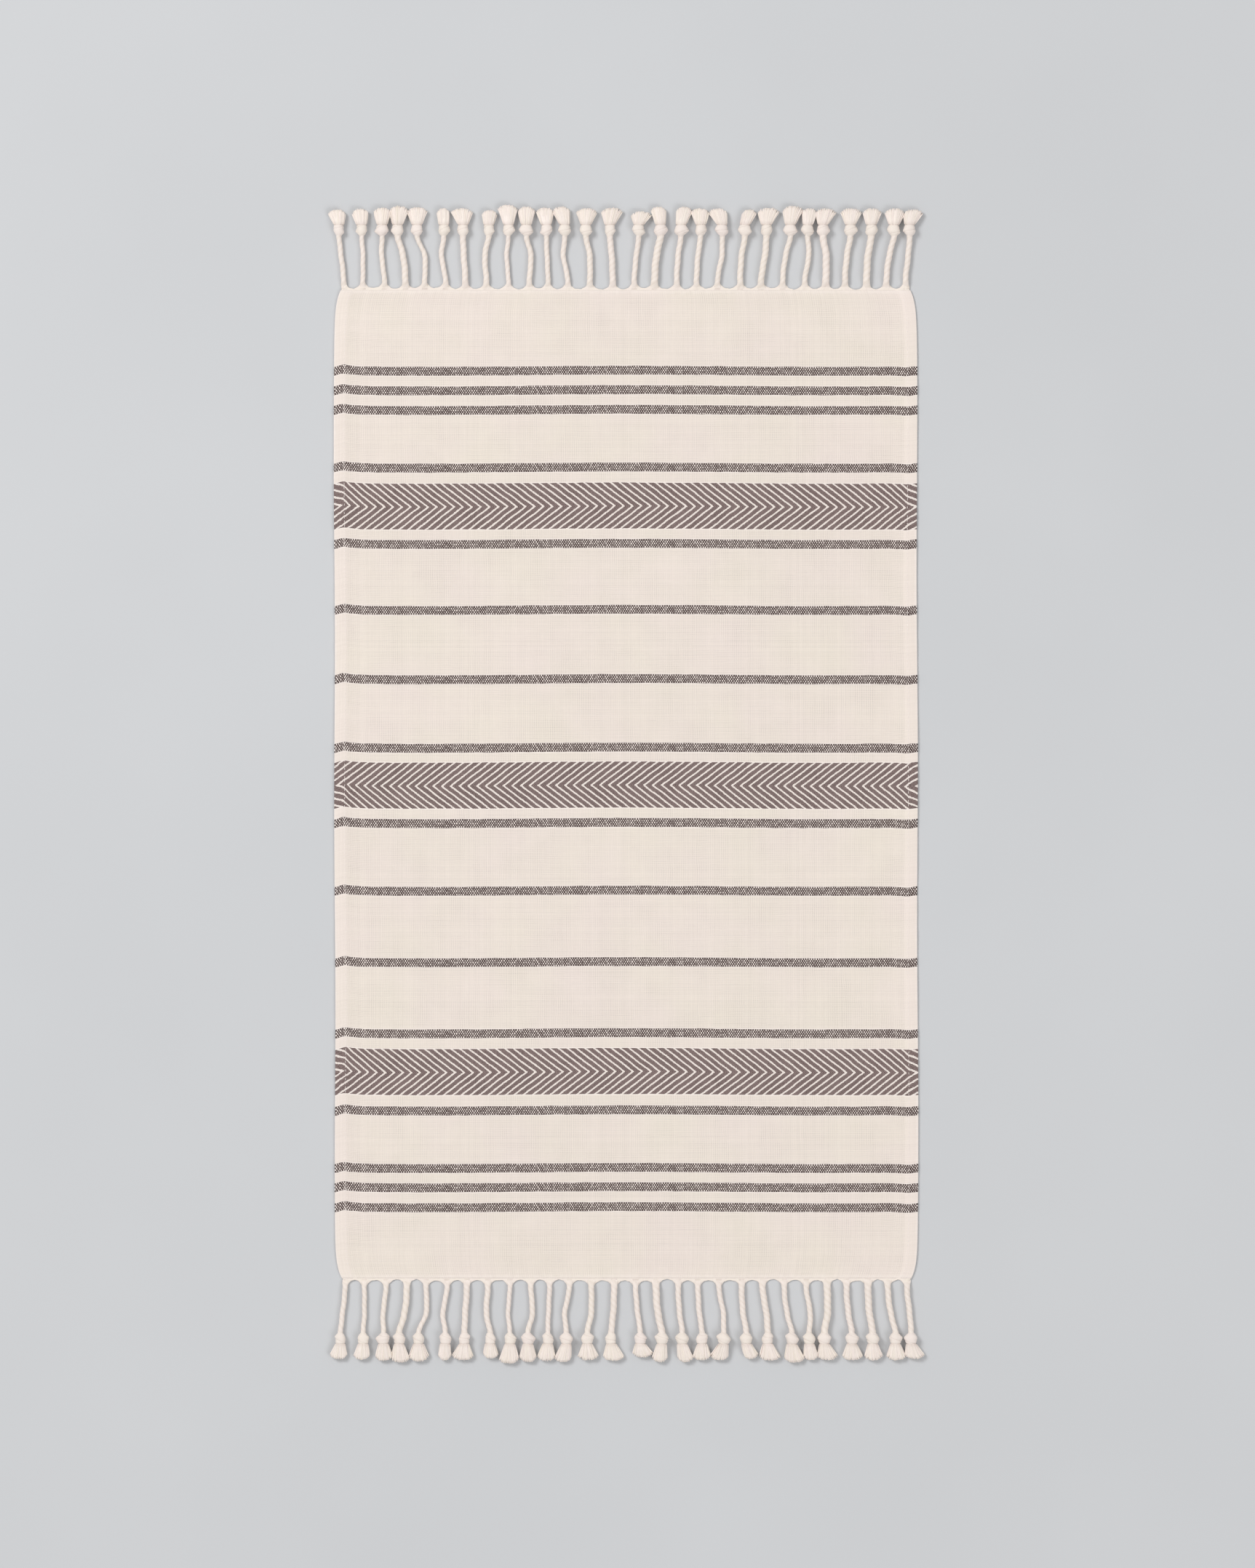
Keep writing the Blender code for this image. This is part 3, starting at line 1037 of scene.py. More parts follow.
    def weft_line(self, across: np.ndarray) -> np.ndarray:
        """How far a pick sags from a straight line, towards the foot.

        It is a shallow wave, 1.2 mm sin^2(pi x / 370 mm) and a little more, lifted by 1.7 mm
        beside the left hem, turned down by 1.0 mm over the last of it, and pulled down by 0.8 mm
        at the right hem's seam.

        Args:
            across: Places across the towel.

        Returns:
            The sag at each.
        """
        wave = 1.2 * MM * np.sin(math.pi * across / (370.0 * MM)) ** 2
        middle = 0.25 * MM * np.exp(-((across / (160.0 * MM)) ** 4))
        lift = 1.7 * MM * np.exp(-np.abs(across + 241.5 * MM) / (7.5 * MM))
        fall = 1.0 * MM * smooth_share(across, -244.0 * MM, -250.0 * MM)
        seam = 0.8 * MM * np.exp(-(((across - 241.0 * MM) / (5.5 * MM)) ** 2))
        return wave + middle - lift + fall + seam

    def lay(self, across: np.ndarray, along: np.ndarray, height: np.ndarray) -> np.ndarray:
        """Puts points of the cloth where they lie.

        The sides draw in towards the corners by corner_draw exp(-d / corner_reach) at a distance d
        from an end, and waver by a slow sine. The picks sag as weft_line says, less and less
        towards the ends, the hems swell and pucker, and the cloth lies in very low ripples.

        Args:
            across: Places across the flat cloth.
            along: Places along it.
            height: Heights over the floor.

        Returns:
            The points.
        """
        from_end = self.half_length - np.abs(along)
        drawn = self.corner_draw * np.exp(-from_end / self.corner_reach)
        share = across / self.half_width
        waved = self.waver * np.sin(TURN * along / self.waver_length + np.sign(across))
        x = share * (self.half_width - drawn) + waved * share**2 - self.skew * along / self.half_length
        y = along - self.weft_line(across) * smooth_share(from_end, 0.0, 40.0 * MM)
        ripple = (
            np.sin(TURN * (across / 0.231 + along / 0.187) + 0.7)
            + np.sin(TURN * (across / 0.127 - along / 0.263) + 2.1)
            + 0.7 * np.sin(TURN * (across / 0.083 + along / 0.094) + 4.4)
            + 0.5 * np.sin(TURN * (along / 0.051 - across / 0.148) + 1.3)
            + 3.2
        )
        hem = smooth_share(np.abs(share), 0.962, 0.975)
        pucker = 0.09 * MM * np.sin(TURN * along / self.stitch_pitch) * (height > self.rest_height)
        swell = 0.16 * MM * (1 + np.sin(TURN * along / 0.037 + 1.7 * np.sin(TURN * along / 0.113)))
        z = height + self.ripple * ripple + hem * (pucker + swell * (height > self.rest_height))
        return np.stack([x, y, z], axis=-1)

    def skin(self) -> Skin:
        """The cloth's closed surface, offset half its thickness to both sides of the section's line."""
        rows, row_slots, row_middles = self.rows()
        places, heights = self.section()
        slope_x, slope_z = np.gradient(places), np.gradient(heights)
        length = np.hypot(slope_x, slope_z)
        out_x, out_z = -slope_z / length, slope_x / length
        half = self.thickness / 2
        ring_x = np.concatenate([places + half * out_x, (places - half * out_x)[::-1]])
        ring_z = np.concatenate([heights + half * out_z, (heights - half * out_z)[::-1]])
        travel = np.concatenate([[0.0], np.cumsum(np.hypot(np.diff(places), np.diff(heights)))])
        middle = np.interp(0.0, places[len(places) // 4 : -len(places) // 4],
                           travel[len(places) // 4 : -len(places) // 4])  # fmt: skip
        reach = travel - middle
        around = len(ring_x)
        grid_x, grid_y = np.meshgrid(ring_x, rows)
        grid_z = np.broadcast_to(ring_z, grid_x.shape)
        skin = Skin(self.lay(grid_x, grid_y, grid_z).reshape(-1, 3))
        side, side_places = ring_quads(len(rows), around)
        across = np.concatenate([reach, reach[::-1], reach[:1]])
        face_share = travel / travel[-1]
        bake_u = np.concatenate([face_share * 0.80, 0.81 + face_share * 0.185, [1.0]])
        row_share = 0.006 + 0.988 * (rows - rows[0]) / (rows[-1] - rows[0])
        loom = np.stack(np.meshgrid(across, rows), axis=-1).reshape(-1, 2)
        bake = np.stack(np.meshgrid(bake_u, row_share), axis=-1).reshape(-1, 2)
        face_rows = np.repeat(np.arange(len(rows) - 1), around)
        figure = loom[side_places].copy()
        figure[..., 1] -= row_middles[face_rows][:, None]
        loom, bake = loom[side_places], bake[side_places]
        skin.add(side, row_slots[face_rows], loom=loom, figure=figure, OFBake=bake)
        self.close_ends(skin, len(places), len(rows), reach, face_share)
        return skin

    def close_ends(
        self, skin: Skin, count: int, rows: int, reach: np.ndarray, face_share: np.ndarray
    ) -> None:
        """Closes the cut ends with a strip of quads between the two sides of the cloth.

        Args:
            skin: The cloth's surface so far.
            count: The number of points along the section's line.
            rows: The number of rows.
            reach: The section line's places in the weave.
            face_share: The same as a share of the whole.
        """
        step = np.arange(count - 1)
        other = 2 * count - 1 - step
        strip = np.stack([step, step + 1, other - 1, other], axis=-1)
        upright = np.array([0.0, 0.0, 1.0, 1.0])
        reaches = np.stack([reach[step], reach[step + 1], reach[step + 1], reach[step]], axis=-1)
        shares = np.stack([face_share[step], face_share[step + 1]] * 2, axis=-1)[:, [0, 1, 3, 2]]
        for row, sign in ((0, 1), (rows - 1, -1)):
            faces = (strip + row * 2 * count)[:, ::sign]
            edge = -self.half_length if row == 0 else self.half_length
            cloth_place = np.stack([reaches, np.full_like(reaches, edge)], axis=-1)[:, ::sign]
            base = 0.0 if row == 0 else 0.996
            bake_place = np.stack([shares, base + 0.003 * upright + 0 * shares], axis=-1)[:, ::sign]
            skin.add(faces, 0, loom=cloth_place, figure=cloth_place, OFBake=bake_place)

    def flat_size(self) -> tuple[float, float]:
        """The width and length of the cut cloth, its turned hems opened out."""
        places, heights = self.section()
        return float(np.hypot(np.diff(places), np.diff(heights)).sum()), 2 * self.half_length

    def build(self) -> bpy.types.Object:
        """Makes the cloth, dresses it and puts it on its body."""
        piece = self.skin().piece("towel_weave", self.dress())
        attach(piece, BODY)
        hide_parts("towel_cloth")
        return piece

    def dress(self) -> list[bpy.types.Material]:
        """The cloth's materials, in the order of the weaves' slots."""
        ground = PlainWeave(self.loom)
        right = ChevronBand(self.loom, ground)
        left = ChevronBand(self.loom, ground, points_right=False, apex=0.3 * MM, repeat=7.55 * MM)
        bar = SpeckledBar(self.loom, ground)
        return [finish.material() for finish in (ground, bar, right, left)]


@dataclass
class HemStitches:
    """One row of sewing along a hem: short stitches that dip into the cloth at both ends."""

    cloth: Cloth
    name: str
    across: float
    length: float = 2.6 * MM
    radius: float = 0.21 * MM
    rings: int = 6
    around: int = 6
    seed: int = 11

    def skin(self) -> Skin:
        """The stitches as capped tubes: a half wave lifts each one, and its ends taper."""
        draw = np.random.default_rng(self.seed)
        pitch = self.cloth.stitch_pitch
        count = int(2 * (self.cloth.half_length - 3.0 * MM) / pitch)
        middles = (np.arange(count) - (count - 1) / 2) * pitch + draw.normal(0, 0.12 * MM, count)
        sideways = self.across + draw.normal(0, 0.07 * MM, count)
        share = np.linspace(-0.5, 0.5, self.rings)
        along = middles[:, None] + share * self.length
        tilt = draw.normal(0, 0.10 * MM, (count, 1)) * share * 2
        across = sideways[:, None] + tilt
        top = self.cloth.rest_height + 2 * self.cloth.fold_radius + self.cloth.thickness / 2
        height = np.full_like(along, top) + self.radius * (np.cos(math.pi * share) * 1.3 - 0.95)
        centre = self.cloth.lay(across, along, height)
        thick = self.radius * np.sqrt(np.clip(1 - (1.9 * share) ** 4, 0.05, 1))
        rings = centre[:, :, None, :] + thick[None, :, None, None] * unit_ring(self.around)
        turns = np.linspace(0, 1, self.around + 1)
        turns = np.broadcast_to(turns, (count, self.rings, self.around + 1))
        run = np.broadcast_to((share * self.length)[None, :, None], turns.shape)
        return tube_bundle(rings, turns, run, draw.random(count))

    def build(self, finish: bpy.types.Material) -> bpy.types.Object:
        """Makes the row of stitches and puts it on its body."""
        piece = self.skin().piece(self.name, [finish])
        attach(piece, BODY)
        return piece


# ------------------------------------------------------------------ fringe


@dataclass
class Tassels:
    """The fringe's pattern of tassels, in millimetres, the same at both ends.

    The columns are the cord's place at the cloth, halfway and at its knot, its girth, the knot's
    bulk, how far the loose ends spread to the left and right of the knot, and how far out they reach.
    """

    root: np.ndarray = field(init=False)
    mid: np.ndarray = field(init=False)
    knot: np.ndarray = field(init=False)
    girth: np.ndarray = field(init=False)
    bulk: np.ndarray = field(init=False)
    left: np.ndarray = field(init=False)
    right: np.ndarray = field(init=False)
    tip: np.ndarray = field(init=False)
    table: tuple[tuple[float, ...], ...] = (
        (-242.5, -245.0, -246.5, 4.4, 9.0, 9.0, 5.5, 69.5),
        (-226.0, -226.0, -227.0, 4.1, 9.0, 8.0, 5.5, 70.0),
        (-207.5, -210.0, -209.5, 4.3, 11.0, 7.0, 7.5, 71.0),
        (-189.5, -192.0, -196.0, 5.4, 10.0, 7.0, 9.0, 72.5),
        (-173.0, -173.5, -179.5, 4.4, 10.0, 8.0, 8.5, 71.5),
        (-155.0, -158.5, -156.5, 4.4, 10.0, 5.5, 4.5, 70.5),
        (-138.0, -139.5, -140.0, 5.2, 9.5, 10.5, 8.0, 70.5),
        (-120.0, -121.0, -118.0, 4.8, 8.5, 5.5, 7.0, 69.0),
        (-101.0, -102.5, -101.0, 3.9, 9.5, 9.0, 7.5, 73.5),
        (-83.0, -82.0, -85.5, 4.6, 11.5, 7.0, 7.0, 72.0),
        (-67.0, -68.0, -68.5, 4.2, 9.5, 8.5, 6.2, 71.0),
        (-50.0, -54.0, -52.5, 4.4, 11.0, 10.3, 4.0, 72.0),
        (-31.0, -31.5, -34.5, 4.9, 10.5, 8.0, 9.5, 70.5),
        (-11.5, -12.5, -14.0, 5.3, 8.5, 7.0, 11.0, 71.0),
        (7.0, 9.0, 11.0, 4.5, 10.5, 6.5, 10.8, 68.0),
        (24.5, 26.5, 29.5, 6.0, 11.5, 8.0, 4.5, 72.0),
        (43.5, 45.0, 47.0, 4.7, 11.5, 3.5, 9.2, 72.0),
        (60.5, 62.0, 64.0, 4.6, 10.0, 8.3, 7.2, 70.5),
        (78.5, 82.5, 82.5, 4.4, 11.5, 11.3, 4.0, 70.5),
        (98.0, 99.5, 102.0, 5.0, 11.0, 2.0, 10.0, 69.5),
        (116.0, 119.5, 120.5, 5.4, 10.0, 7.0, 11.0, 71.0),
        (134.5, 137.5, 141.0, 4.6, 11.5, 6.0, 11.0, 72.5),
        (153.5, 157.0, 156.0, 4.5, 11.0, 4.5, 7.6, 70.5),
        (171.5, 171.5, 169.0, 6.1, 11.0, 6.0, 11.5, 70.5),
        (188.0, 190.0, 192.5, 5.1, 11.0, 8.0, 9.5, 70.5),
        (206.5, 208.0, 210.5, 5.9, 11.0, 7.0, 8.5, 70.5),
        (223.5, 226.5, 230.0, 5.1, 10.5, 7.5, 9.0, 70.5),
        (240.0, 242.5, 243.5, 4.9, 10.5, 5.0, 11.5, 69.5),
    )

    def __post_init__(self) -> None:
        """Spreads the table into one array for each column, in metres."""
        columns = np.array(self.table).T * MM
        names = ("root", "mid", "knot", "girth", "bulk", "left", "right", "tip")
        for name, column in zip(names, columns):
            setattr(self, name, column)

    def __len__(self) -> int:
        """The number of tassels."""
        return len(self.table)


@dataclass(frozen=True)
class HeadingSizes:
    """The sizes of the strip that binds the cloth's cut edge to the cords.

    The strip starts `inside` the cloth and reaches a valley's depth past it, plus `climb` at each
    cord. Towards the cloth's sides it gets no deeper than `side_depth` and `side_slope` allow.
    """

    columns: int = 900
    around: int = 22
    inset: float = 0.3 * MM
    inside: float = -2.4 * MM
    valleys: tuple[float, float] = (0.3, 1.9)
    climb: float = 4.8 * MM
    climb_flat: float = 2.2 * MM
    climb_reach: float = 2.4 * MM
    frays: int = 320
    fray: float = 0.16 * MM
    side_depth: float = 0.5 * MM
    side_slope: float = 1.3
    crease_at: float = 1.2 * MM
    crease_reach: float = 0.30 * MM
    crease_depth: float = 0.15 * MM
    cover: float = 0.02 * MM
    swell: float = 0.45 * MM
    sink: float = 0.30 * MM
    gather: float = 0.72
    gather_length: float = 7.5 * MM


@dataclass
class Fringe:
    """One end's fringe: a heading, and cords that twist, knot and open into loose ends."""

    end: End
    tassels: Tassels
    cloth: Cloth
    lay_length: float = 10.4 * MM
    groove: float = 0.065
    cord_from: float = 0.3 * MM
    cord_to: float = 55.0 * MM
    cord_rings: int = 62
    cord_around: int = 24
    cord_foot: float = 5.0 * MM
    cord_foot_thin: float = 0.30 * MM
    gather_reach: float = 3.0 * MM
    round_from: float = 8.5 * MM
    rise_from: float = 36.0 * MM
    rise_to: float = 50.0 * MM
    sway: float = 0.14 * MM
    sway_length: float = 17.0 * MM
    knot_from: float = 46.0 * MM
    brush_from: float = 55.6 * MM
    wrap_lead: float = 8.0 * MM
    knot_flatness: float = 0.80
    knot_crease: float = 0.5 * MM
    knot_loop: float = 0.9 * MM
    collar: float = 4.15 * MM
    fan_neck: float = 4.25 * MM
    heading: HeadingSizes = HeadingSizes()
    clear: float = 0.05 * MM
    seed: int = 5

    def label(self) -> str:
        """The end's name in small letters."""
        return self.end.name.lower()

    def placed(self, local: np.ndarray) -> np.ndarray:
        """Moves points from the fringe's own frame to the towel's.

        Args:
            local: Points whose second number is the distance past the cloth's edge.

        Returns:
            The same points at this end of the towel.
        """
        way, shift = self.end.value
        moved = local.copy()
        moved[..., 0] += shift
        moved[..., 1] = way * (self.cloth.half_length + local[..., 1])
        return moved

    def edge(self, share: np.ndarray, lift: np.ndarray | float = 0.0) -> np.ndarray:
        """Points in the middle of the cloth's thickness, along this end.

        Args:
            share: Places across it, from -1 at the left corner to 1 at the right one.
            lift: How far each point is raised.

        Returns:
            The points, with the sideways place in the fringe's own frame.
        """
        way, shift = self.end.value
        along = np.full_like(share, way * self.cloth.half_length)
        height = np.full_like(share, self.cloth.rest_height) + lift
        found = self.cloth.lay(share * self.cloth.half_width, along, height)
        found[:, 0] -= shift
        return found

    def cord_lines(self, run: np.ndarray) -> tuple[np.ndarray, np.ndarray, np.ndarray, np.ndarray]:
        """The cords' middle lines and half sizes.

        A cord leaves the heading wide and flat, is round 8.5 mm out, and rises to its knot.

        Args:
            run: Distances past the cloth's edge.

        Returns:
            For each cord and distance: the sideways place, the height, half of the width and
            half of the thickness.
        """
        t = self.tassels
        stations = np.array([0.0, 8.0, 32.0, 46.0, 58.0]) * MM
        x = eased_line(stations, np.stack([t.root, t.root, t.mid, t.knot, t.knot], axis=1), run)
        radius = (t.girth / 2)[:, None]
        gathered = 1 - np.exp(-((np.maximum(run, 0.0) / self.gather_reach) ** 1.6))
        rounded = smooth_share(run, 0.0, self.round_from)
        width = self.cord_foot * (1 - gathered) + radius * gathered
        thin = self.cord_foot_thin * (1 - rounded) + radius * 0.96 * rounded
        lifted = smooth_share(run, self.rise_from, self.rise_to)
        edge = self.edge(t.root / (self.cloth.half_width - self.cloth.corner_draw))[:, 2:]
        rest = np.maximum(thin + 0.15 * MM, edge * (1 - rounded))
        height = rest + lifted * ((t.bulk * 0.40)[:, None] - rest)
        sway = np.sin(TURN * run / self.sway_length + 2.3 * np.arange(len(t))[:, None])
        sway = self.sway * sway
        return x + sway * gathered, height, width, thin

    def cord_skin(self) -> Skin:
        """The twisted cords.

        The radius round a cord is 1 - g (1 - q) + 0.05 (q - 0.5), where q is |sin p|^0.5 and p the
        angle less the twist so far: two plies with a narrow groove of depth g on either side, which
        turn as they go. The outermost cords don't spread past the cloth's corners.
        """
        run = np.linspace(self.cord_from, self.cord_to, self.cord_rings)
        x, height, width, thin = self.cord_lines(run)
        draw = np.random.default_rng(self.seed)
        count = len(self.tassels)
        start = draw.random((count, 1, 1))
        loose = 1 + draw.normal(0, 0.07, (count, 1, 1))
        turned = start - loose * run[None, :, None] / self.lay_length
        angle = np.linspace(0, 1, self.cord_around + 1)[None, None, :]
        share = angle - turned
        plied = smooth_share(run, 2.5 * MM, 9.0 * MM)[None, :, None]
        ply = np.abs(np.sin(TURN * share)) ** 0.5
        out = 1 - self.groove * plied * (1 - ply) + 0.05 * plied * (ply - 0.5)
        out = out[:, :, :-1]
        turn = TURN * angle[:, :, :-1]
        sideways = x[:, :, None] + width[:, :, None] * out * np.cos(turn)
        low, high = self.edge(np.array([-1.0, 1.0]))[:, 0]
        room = (0.12 * run - 0.5 * MM)[None, :, None]
        rings = np.stack([
            np.clip(sideways, low - room, high + room),
            np.broadcast_to(run[None, :, None], out.shape),
            height[:, :, None] + thin[:, :, None] * out * np.sin(turn),
        ], axis=-1)  # fmt: skip
        runs = np.broadcast_to(run[None, :, None], share.shape)
        return tube_bundle(self.placed(rings), share, runs, draw.random(count))

    def knot_skin(self) -> Skin:
        """The knots, each a blob that flares from its cord, is widest low down and ends in a collar.

        Its half width follows an eased line from the cord's, over half the bulk at 50.9 mm past
        the cloth, to the collar at 55.3 mm, then dips into the loose ends. A crease 0.5 mm deep
        winds up it where the wraps lie side by side, the bulge leans to one side, and a loop
        sticks out 0.9 mm low on one flank.
        """
        t = self.tassels
        count = len(t)
        draw = np.random.default_rng(self.seed + 1)
        steps, around = 26, 36
        half, bulge = t.girth / 2, t.bulk / 2
        collar = np.full(count, self.collar) * (0.94 + 0.06 * t.bulk / (10.5 * MM))
        stations = np.array([self.knot_from, 48.0 * MM, 50.9 * MM, 53.4 * MM, 55.3 * MM, 56.4 * MM])
        widths = [half * 0.90, half + 0.48 * (bulge - half), bulge, 0.55 * bulge + 0.45 * collar,
                  collar, collar * 0.72]  # fmt: skip
        run = np.linspace(stations[0], stations[-1], steps)
        radius = eased_line(stations, np.stack(widths, axis=1), run)[:, :, None]
        angle = np.linspace(0, 1, around + 1)[None, None, :]
        start = draw.random((count, 1, 1))
        lean = draw.uniform(-1.0, 1.0, (count, 1, 1))
        wrap = angle + start + run[None, :, None] / self.wrap_lead
        crease = np.exp(-(((wrap % 1.0 - 0.5) / 0.045) ** 2))
        inner = np.sin(math.pi * np.linspace(0, 1, steps))[None, :, None]
        lump = 0.05 * np.sin(TURN * (2 * angle + start * 3))
        lump = lump + 0.035 * np.sin(TURN * (3 * angle + start * 7))
        flank = np.sign(draw.uniform(-1.0, 1.0, (count, 1, 1))) * np.cos(TURN * (angle - 0.04))
        low = np.exp(-(((run - 50.0 * MM) / (1.5 * MM)) ** 2))[None, :, None]
        loop = self.knot_loop * draw.uniform(0.3, 1.2, (count, 1, 1))
        loop = loop * np.maximum(flank, 0.0) ** 6 * low
        size = (radius * (1 + lump * inner) - self.knot_crease * crease * inner + loop)[:, :, :-1]
        turn = (TURN * angle)[:, :, :-1]
        rise = (bulge * self.knot_flatness)[:, None, None] + 0.1 * MM
        rings = np.stack([
            t.knot[:, None, None] + size * np.cos(turn) + 0.35 * MM * lean * inner,
            run[None, :, None] + inner * lean * 1.1 * MM * np.cos(turn),
            np.maximum(rise + size * self.knot_flatness * np.sin(turn), self.clear),
        ], axis=-1)  # fmt: skip
        places = np.broadcast_to(angle + start, (count, steps, around + 1))
        runs = np.broadcast_to(run[None, :, None], places.shape)
        return tube_bundle(self.placed(rings), places, runs, draw.random(count))

    def fan(self, across: np.ndarray, up: np.ndarray, share: np.ndarray) -> tuple[np.ndarray, np.ndarray]:
        """Where a place in the loose ends' fan is, sideways and in height.

        The fan is a flat oval: fan_neck, 4.25 mm, to each side of the knot's middle at its start,
        and out to the tips' left and right reach at its end, while it sinks from the knot's height.

        Args:
            across: The place from the fan's left edge, -1, to its right edge, 1.
            up: The place from its underside, -1, to its upper side, 1.
            share: The place from the knot, 0, to the tips, 1.

        Returns:
            The sideways places and the heights, with the tassel as the first axis of both.
        """
        t = self.tassels
        middle = ((t.right - t.left) / 2)[:, None, None]
        reach = ((t.right + t.left) / 2 + 0.1 * MM)[:, None, None]
        opened = share**1.1
        neck = 1 - 0.14 * np.exp(-share / 0.05)
        half = (self.fan_neck * (1 - opened) + reach * opened) * neck
        x = t.knot[:, None, None] + middle * opened + across * half
        knot_z = (t.bulk / 2 * self.knot_flatness)[:, None, None] + 0.1 * MM
        thick = 3.3 * MM * (1 - share**0.8) + 2.15 * MM * share**0.8
        middle_z = knot_z * (1 - share**0.9) + (thick + 0.55 * MM) * share**0.9
        return x, middle_z + up * thick * neck

    def tips(self, across: np.ndarray) -> np.ndarray:
        """How far out the fan's tips are: the tassel's reach, less 3.4 mm |q|^3 towards the sides."""
        return self.tassels.tip[:, None, None] - 0.6 * MM - 3.4 * MM * np.abs(across) ** 3

    def core_skin(self) -> Skin:
        """The inside of each fan of loose ends, a ribbed oval that stops 0.6 mm short of the tips."""
        count = len(self.tassels)
        draw = np.random.default_rng(self.seed + 4)
        steps, around = 16, 56
        angle = np.linspace(0, 1, around + 1)[None, None, :]
        share = np.linspace(0, 1, steps)[None, :, None]
        closing = np.sqrt(np.clip(1 - share**20, 0.1, 1))
        rib = 1 - 0.045 * np.abs(np.sin(TURN * (7 * angle + draw.random((count, 1, 1)))))
        wide = np.sign(np.cos(TURN * angle)) * np.abs(np.cos(TURN * angle)) ** 0.9
        across = wide * rib * (0.5 + 0.5 * closing) * 0.97
        up = np.sin(TURN * angle) * rib * closing
        x, z = self.fan(across, up, share)
        run = self.brush_from + (self.tips(wide) - 0.6 * MM - self.brush_from) * share
        rings = np.stack([x, run, z], axis=-1)[:, :, :-1]
        places = np.broadcast_to(angle * 34.0, (count, steps, around + 1))
        return tube_bundle(self.placed(rings), places, run - self.brush_from, draw.random(count))

    def brush_skin(self) -> Skin:
        """The loose ends over the core: yarns side by side that leave the knot and fan out.

        Twenty-four lie on the upper side of the fan, twelve below and six inside. Each follows the
        fan, gets thicker towards its tip and ends unevenly, and a cleft or two pushes some aside.
        """
        count = len(self.tassels)
        draw = np.random.default_rng(self.seed + 2)
        upper, lower, inner = 24, 12, 6
        yarns = upper + lower + inner
        place = np.concatenate([np.linspace(-1, 1, upper), np.linspace(-0.94, 0.94, lower),
                                np.linspace(-0.85, 0.85, inner)])  # fmt: skip
        place = place[None, :] + draw.normal(0, 0.025, (count, yarns))
        cleft = draw.uniform(-0.75, 0.75, (count, 1, 3))
        gap = place[..., None] - cleft
        push = (np.sign(gap) * np.exp(-np.abs(gap) / 0.14) * [0.035, 0.02, 0.015]).sum(axis=-1)
        side = np.repeat([1.0, -1.0, 0.25], [upper, lower, inner])
        level = side * np.sqrt(np.clip(1 - place**2, 0.02, 1)) + draw.normal(0, 0.07, (count, yarns))
        steps, around = 8, 6
        share = np.linspace(0, 1, steps)
        curl = draw.normal(0, 0.025, (count, yarns, 1)) * np.sin(math.pi * share * 1.3) * share
        across = place[..., None] * 0.98 + push[..., None] * share + curl
        x, z = self.fan(across, level[..., None] * 0.80, share[None, None, :])
        uneven = draw.normal(0, 0.28 * MM, (count, yarns, 1))
        run = self.brush_from + (self.tips(place[..., None]) + uneven - self.brush_from) * share
        thick = (0.44 * MM + 0.24 * MM * share) * (1 + draw.normal(0, 0.10, (count, yarns, 1)))
        thick = thick * np.sqrt(np.clip(1 - ((share - 0.1) / 0.93) ** 14, 0.08, 1))
        line = np.stack([x, run, np.maximum(z, thick + 0.1 * MM)], axis=-1)
        rings = line[..., None, :] + thick[..., None, None] * unit_ring(around)
        rings = rings.reshape(count * yarns, steps, around, 3)
        places = np.broadcast_to(np.linspace(0, 1, around + 1), (count * yarns, steps, around + 1))
        free = (run - self.brush_from).reshape(count * yarns, steps, 1)
        runs = np.broadcast_to(free, places.shape)
        return tube_bundle(self.placed(rings), places, runs, draw.random(count * yarns))

    def heading_skin(self) -> Skin:
        """The heading: a thin strip along the cloth's edge that climbs to each cord like a tent.

        Past the edge it is as deep as a shallow valley between the cords plus, at each cord,
        4.8 mm exp(-(d - 2.2 mm) / 2.4 mm) at a sideways distance d. Its section is a flat oval
        that starts 2.4 mm inside the cloth, follows its ripples and the height of its hems, just
        covers both of its sides, and sinks into its upper side. A short crease crosses the strip
        at the foot of each cord.
        """
        sizes, root, cloth = self.heading, self.tassels.root, self.cloth
        share = np.linspace(-1, 1, sizes.columns)
        lower = self.edge(share)
        x = lower[:, 0] - sizes.inset * share
        to_side = np.minimum(x - x[0], x[-1] - x)
        turn = np.where(share < 0, cloth.left_turn, cloth.right_turn)
        lift = 2 * cloth.fold_radius * smooth_share(to_side - turn, 3.4 * MM, -0.6 * MM)
        upper = self.edge(share, lift)
        draw = np.random.default_rng(self.seed + 3)
        away = np.abs(x[:, None] - root[None, :])
        climb = np.exp(-np.maximum(away - sizes.climb_flat, 0.0) / sizes.climb_reach).max(axis=1)
        gaps = (root[1:] + root[:-1]) / 2
        valley = np.interp(x, gaps, draw.uniform(*sizes.valleys, len(gaps)) * MM)
        frays = draw.normal(0, sizes.fray, sizes.frays)
        fray = np.interp(share, np.linspace(-1, 1, sizes.frays), frays)
        widest = sizes.side_depth + sizes.side_slope * to_side
        depth = np.minimum(valley + sizes.climb * climb + fray, widest)
        taper = np.sqrt(1 - 0.5 * np.clip(1 - to_side / (2.0 * MM), 0, 1) ** 3)
        inside = sizes.inside
        angle = TURN * np.arange(sizes.around + 1) / sizes.around
        out = np.sign(np.cos(angle)) * np.abs(np.cos(angle)) ** 0.85
        up = np.sign(np.sin(angle)) * np.abs(np.sin(angle)) ** 0.5
        run = ((depth + inside) / 2)[:, None] + ((depth - inside) / 2)[:, None] * out
        crease = np.exp(-(((run - sizes.crease_at) / sizes.crease_reach) ** 2))
        crease = crease * smooth_share(away.min(axis=1), 3.3 * MM, 2.3 * MM)[:, None] * (up > 0)
        cover = cloth.thickness / 2 + sizes.cover + (upper - lower)[:, 2:] / 2
        swollen = sizes.swell * (climb**2)[:, None] * smooth_share(run, -0.2 * MM, 2.4 * MM)
        thick = (cover + swollen) * taper[:, None]
